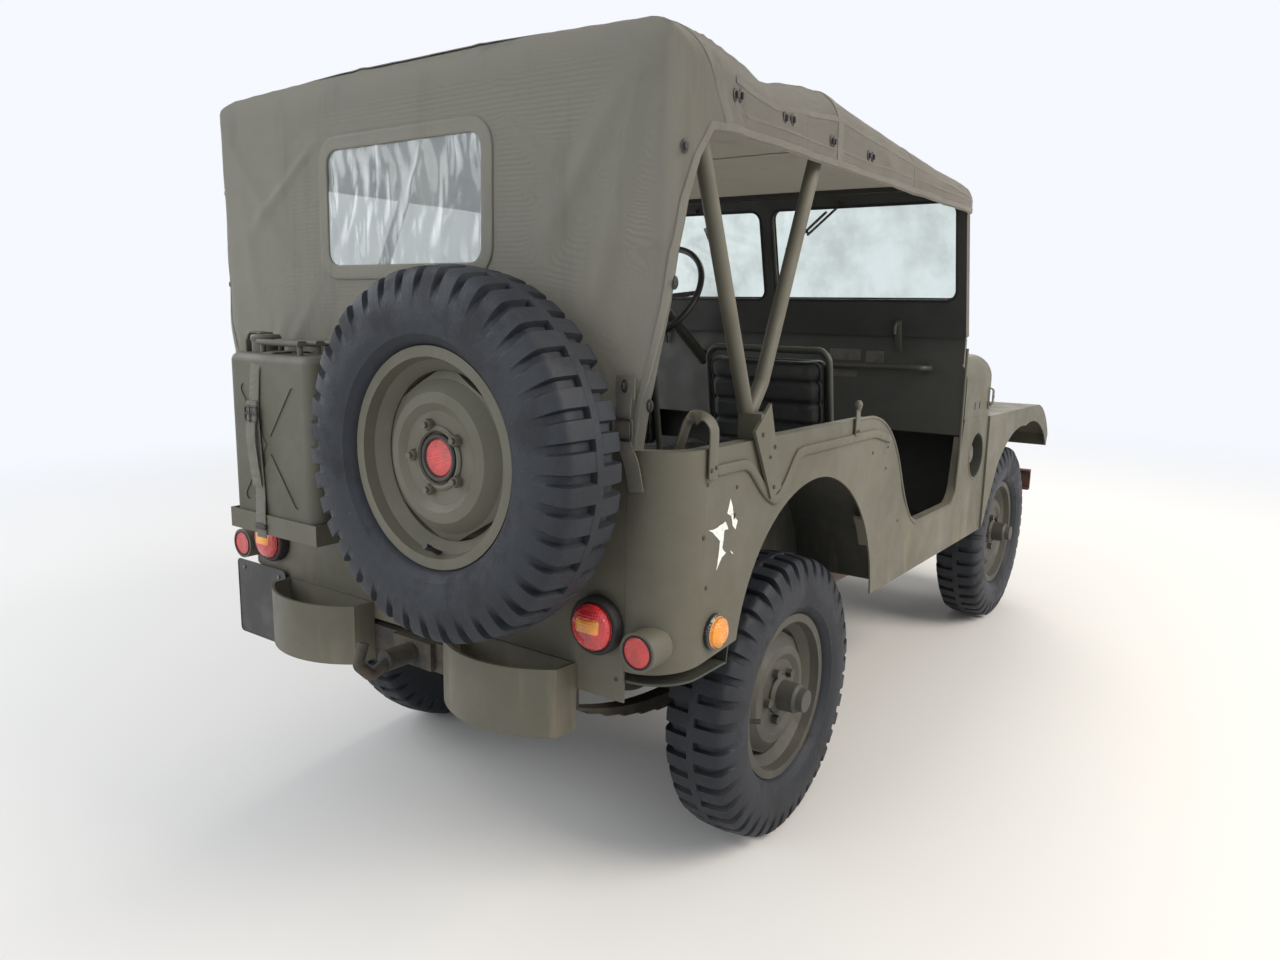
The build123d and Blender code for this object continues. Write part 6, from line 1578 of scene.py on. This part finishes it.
# %% [markdown]
# Inside, a grab bar crosses the dash before the passenger, with three small bare
# metal plates by it.  Clamps at both ends hold the windshield's foot down, and two
# wipers hang from the top of the frame, outside the glass.  The windshield leans back,
# so its pieces are set by a function that walks up and across its plane.

# %% Grab bar, bare plates, clamps and wipers
DASH_X, SHIELD_X, SHIELD_FOOT_Z = 1.172, 1.150, 1.250
TILT = math.radians(13.8)


def on_shield(y, up, out):
    """Point of the windshield's plane: across, up along the frame, and out towards the hood."""
    return (SHIELD_X - up * math.sin(TILT) + out * math.cos(TILT), y,
            SHIELD_FOOT_Z + up * math.cos(TILT) + out * math.sin(TILT))


bar_line = [(DASH_X - 0.002, -0.235, 1.136), (DASH_X - 0.045, -0.245, 1.136), (DASH_X - 0.045, -0.615, 1.140),
            (DASH_X - 0.002, -0.630, 1.140)]
bar = [carried(along(bent(bar_line, 0.030), 0.008), circle(0.0105, 14))]
bar += [carried(along([(DASH_X + 0.001, y, z), (DASH_X - 0.006, y, z)], 0.004), circle(0.021, 18))
        for y, z in ((-0.235, 1.136), (-0.630, 1.140))]
for side in (1, -1):
    clamp = [on_shield(side * 0.515, -0.055, -0.010), on_shield(side * 0.515, 0.030, -0.012),
             on_shield(side * 0.515, 0.060, -0.006)]
    bar.append(carried(along(bent(clamp, 0.01), 0.006), rounded(0.024, 0.010, 0.003, 2), up=(-1, 0, 0)))
    hook = [on_shield(side * 0.515, 0.052, -0.014), on_shield(side * 0.515, 0.052, -0.040),
            on_shield(side * 0.515, 0.020, -0.046)]
    bar.append(carried(along(bent(hook, 0.012), 0.005), circle(0.0055, 10), up=(0, 1, 0)))
piece("grab_bar_and_clamps", raked(bar), SHADE, "car", 40.0)

# Columns: Y, height, width, depth of each plate
DASH_PLATES = [(-0.300, 1.176, 0.125, 0.042), (-0.418, 1.172, 0.072, 0.044), (-0.300, 1.106, 0.100, 0.026)]
tags = []
for y, z, wide, high in DASH_PLATES:
    points, quads = slab((wide, high, 0.0012), 0.0004)
    tags.append((points[:, (2, 0, 1)] + (DASH_X - 0.0008, y, z), quads))
piece("dash_plates", raked(tags), HARNESS, "car", 40.0)

PIVOT_UP = 0.480


def on_wiper(y, slant, s, t, out):
    """Point s along a wiper's arm from its pivot at y, t beside the arm, and out from the frame."""
    down = unit((slant, -1.0))
    return on_shield(y + s * down[0] - t * down[1], PIVOT_UP + s * down[1] + t * down[0], out)


# Columns: section, then two ends, each as distance along the arm, beside it and out
WIPER_BARS = [(rounded(0.009, 0.005, 0.002, 2), (0.0, 0.0, 0.040), (0.185, 0.0, 0.034)),
              (rounded(0.010, 0.006, 0.002, 2), (0.178, -0.002, 0.036), (0.178, 0.014, 0.032)),
              (rounded(0.008, 0.014, 0.002, 2), (0.070, 0.014, 0.030), (0.285, 0.014, 0.030)),
              (circle(0.007, 12), (0.0, 0.0, -0.022), (0.0, 0.0, 0.048))]
# Columns: Y of the pivot, how far the arm leans aside for each metre down
wipers = [carried(along([on_wiper(y, slant, *first), on_wiper(y, slant, *last)], 0.005), section,
                  up=(0, 0, 1) if first[:2] == last[:2] else (1, 0, 0.2))
          for y, slant in ((0.300, -0.35), (-0.300, 1.30)) for section, first, last in WIPER_BARS]
piece("wipers", raked(wipers), DARK_BOLT, "car", 40.0)

# %% [markdown]
# The glass sits in black rubber, which shows as a thin dark line round each pane, and
# the steel divider between the panes has a strip of it on both sides.

# %% Rubber round the panes
PANE_WIDE, PANE_HIGH, PANE_Y, PANE_UP = 0.700, 0.336, 0.372, 0.298
seals = []
for side in (1, -1):
    ring = rounded(PANE_WIDE, PANE_HIGH, 0.038, 6) + (side * PANE_Y, PANE_UP)
    for out in (0.0005, 0.0315):
        path = np.array([on_shield(y, up, out) for y, up in ring])
        seals.append(carried(path, rounded(0.009, 0.006, 0.002, 2), closed=True, up=(1, 0, 0.25)))
piece("glass_seals", raked(seals), SEAL, "car", 40.0)

# %% [markdown]
# The canvas ends on the windshield frame, where a padded steel strip holds its front
# edge.  The strip fills the space between the crowned sheet and the frame's straight
# top, so it is read from a row of the sheet: that row's points, moved down along their
# normals by the strip's depth.

# %% Strip that holds the canvas at the windshield
HEADER_X, HEADER_DEPTH, HEADER_WIDE, HEADER_THICK = 1.040, 0.0135, 0.030, 0.0110
header_row = int(np.argmin(np.abs(PLANES[:ROOF_ROWS, 0] - HEADER_X)))
above_frame = loose[header_row, :, 2] > 1.735
header_line = (loose[header_row] - NORMALS[header_row] * HEADER_DEPTH)[above_frame]
piece("header_strip", strip(header_line, NORMALS[header_row][above_frame], HEADER_WIDE, HEADER_THICK),
      PAINT_SHIELD, "car", 40.0)
print("header strip from", header_line[0].round(3), "to", header_line[-1].round(3))

# %% [markdown]
# A spring catch on each flank holds the hood's rear corner down.  It is a bent hook
# over a small foot, and it rides with the body that its foot is bolted to.

# %% Hood catches
hook_line = bent([(0, 0.004, -0.034), (0, 0.016, -0.030), (0, 0.016, 0.026), (0, 0.004, 0.032)], 0.008)
CATCH = together([carried(along(hook_line, 0.004), rounded(0.020, 0.004, 0.0015, 2), up=(0, 1, 0)),
                  copies(slab((0.030, 0.006, 0.024), 0.002), [(0, 0.003, -0.034)]),
                  copies(dome(0.004, 0.003), [(0, 0.018, 0)])])
catches = [on_body(CATCH, (1.462, side * 0.7655, 1.030), (0, side, 0)) for side in (1, -1)]
piece("hood_catches", together(catches), PAINT, "car", 40.0)
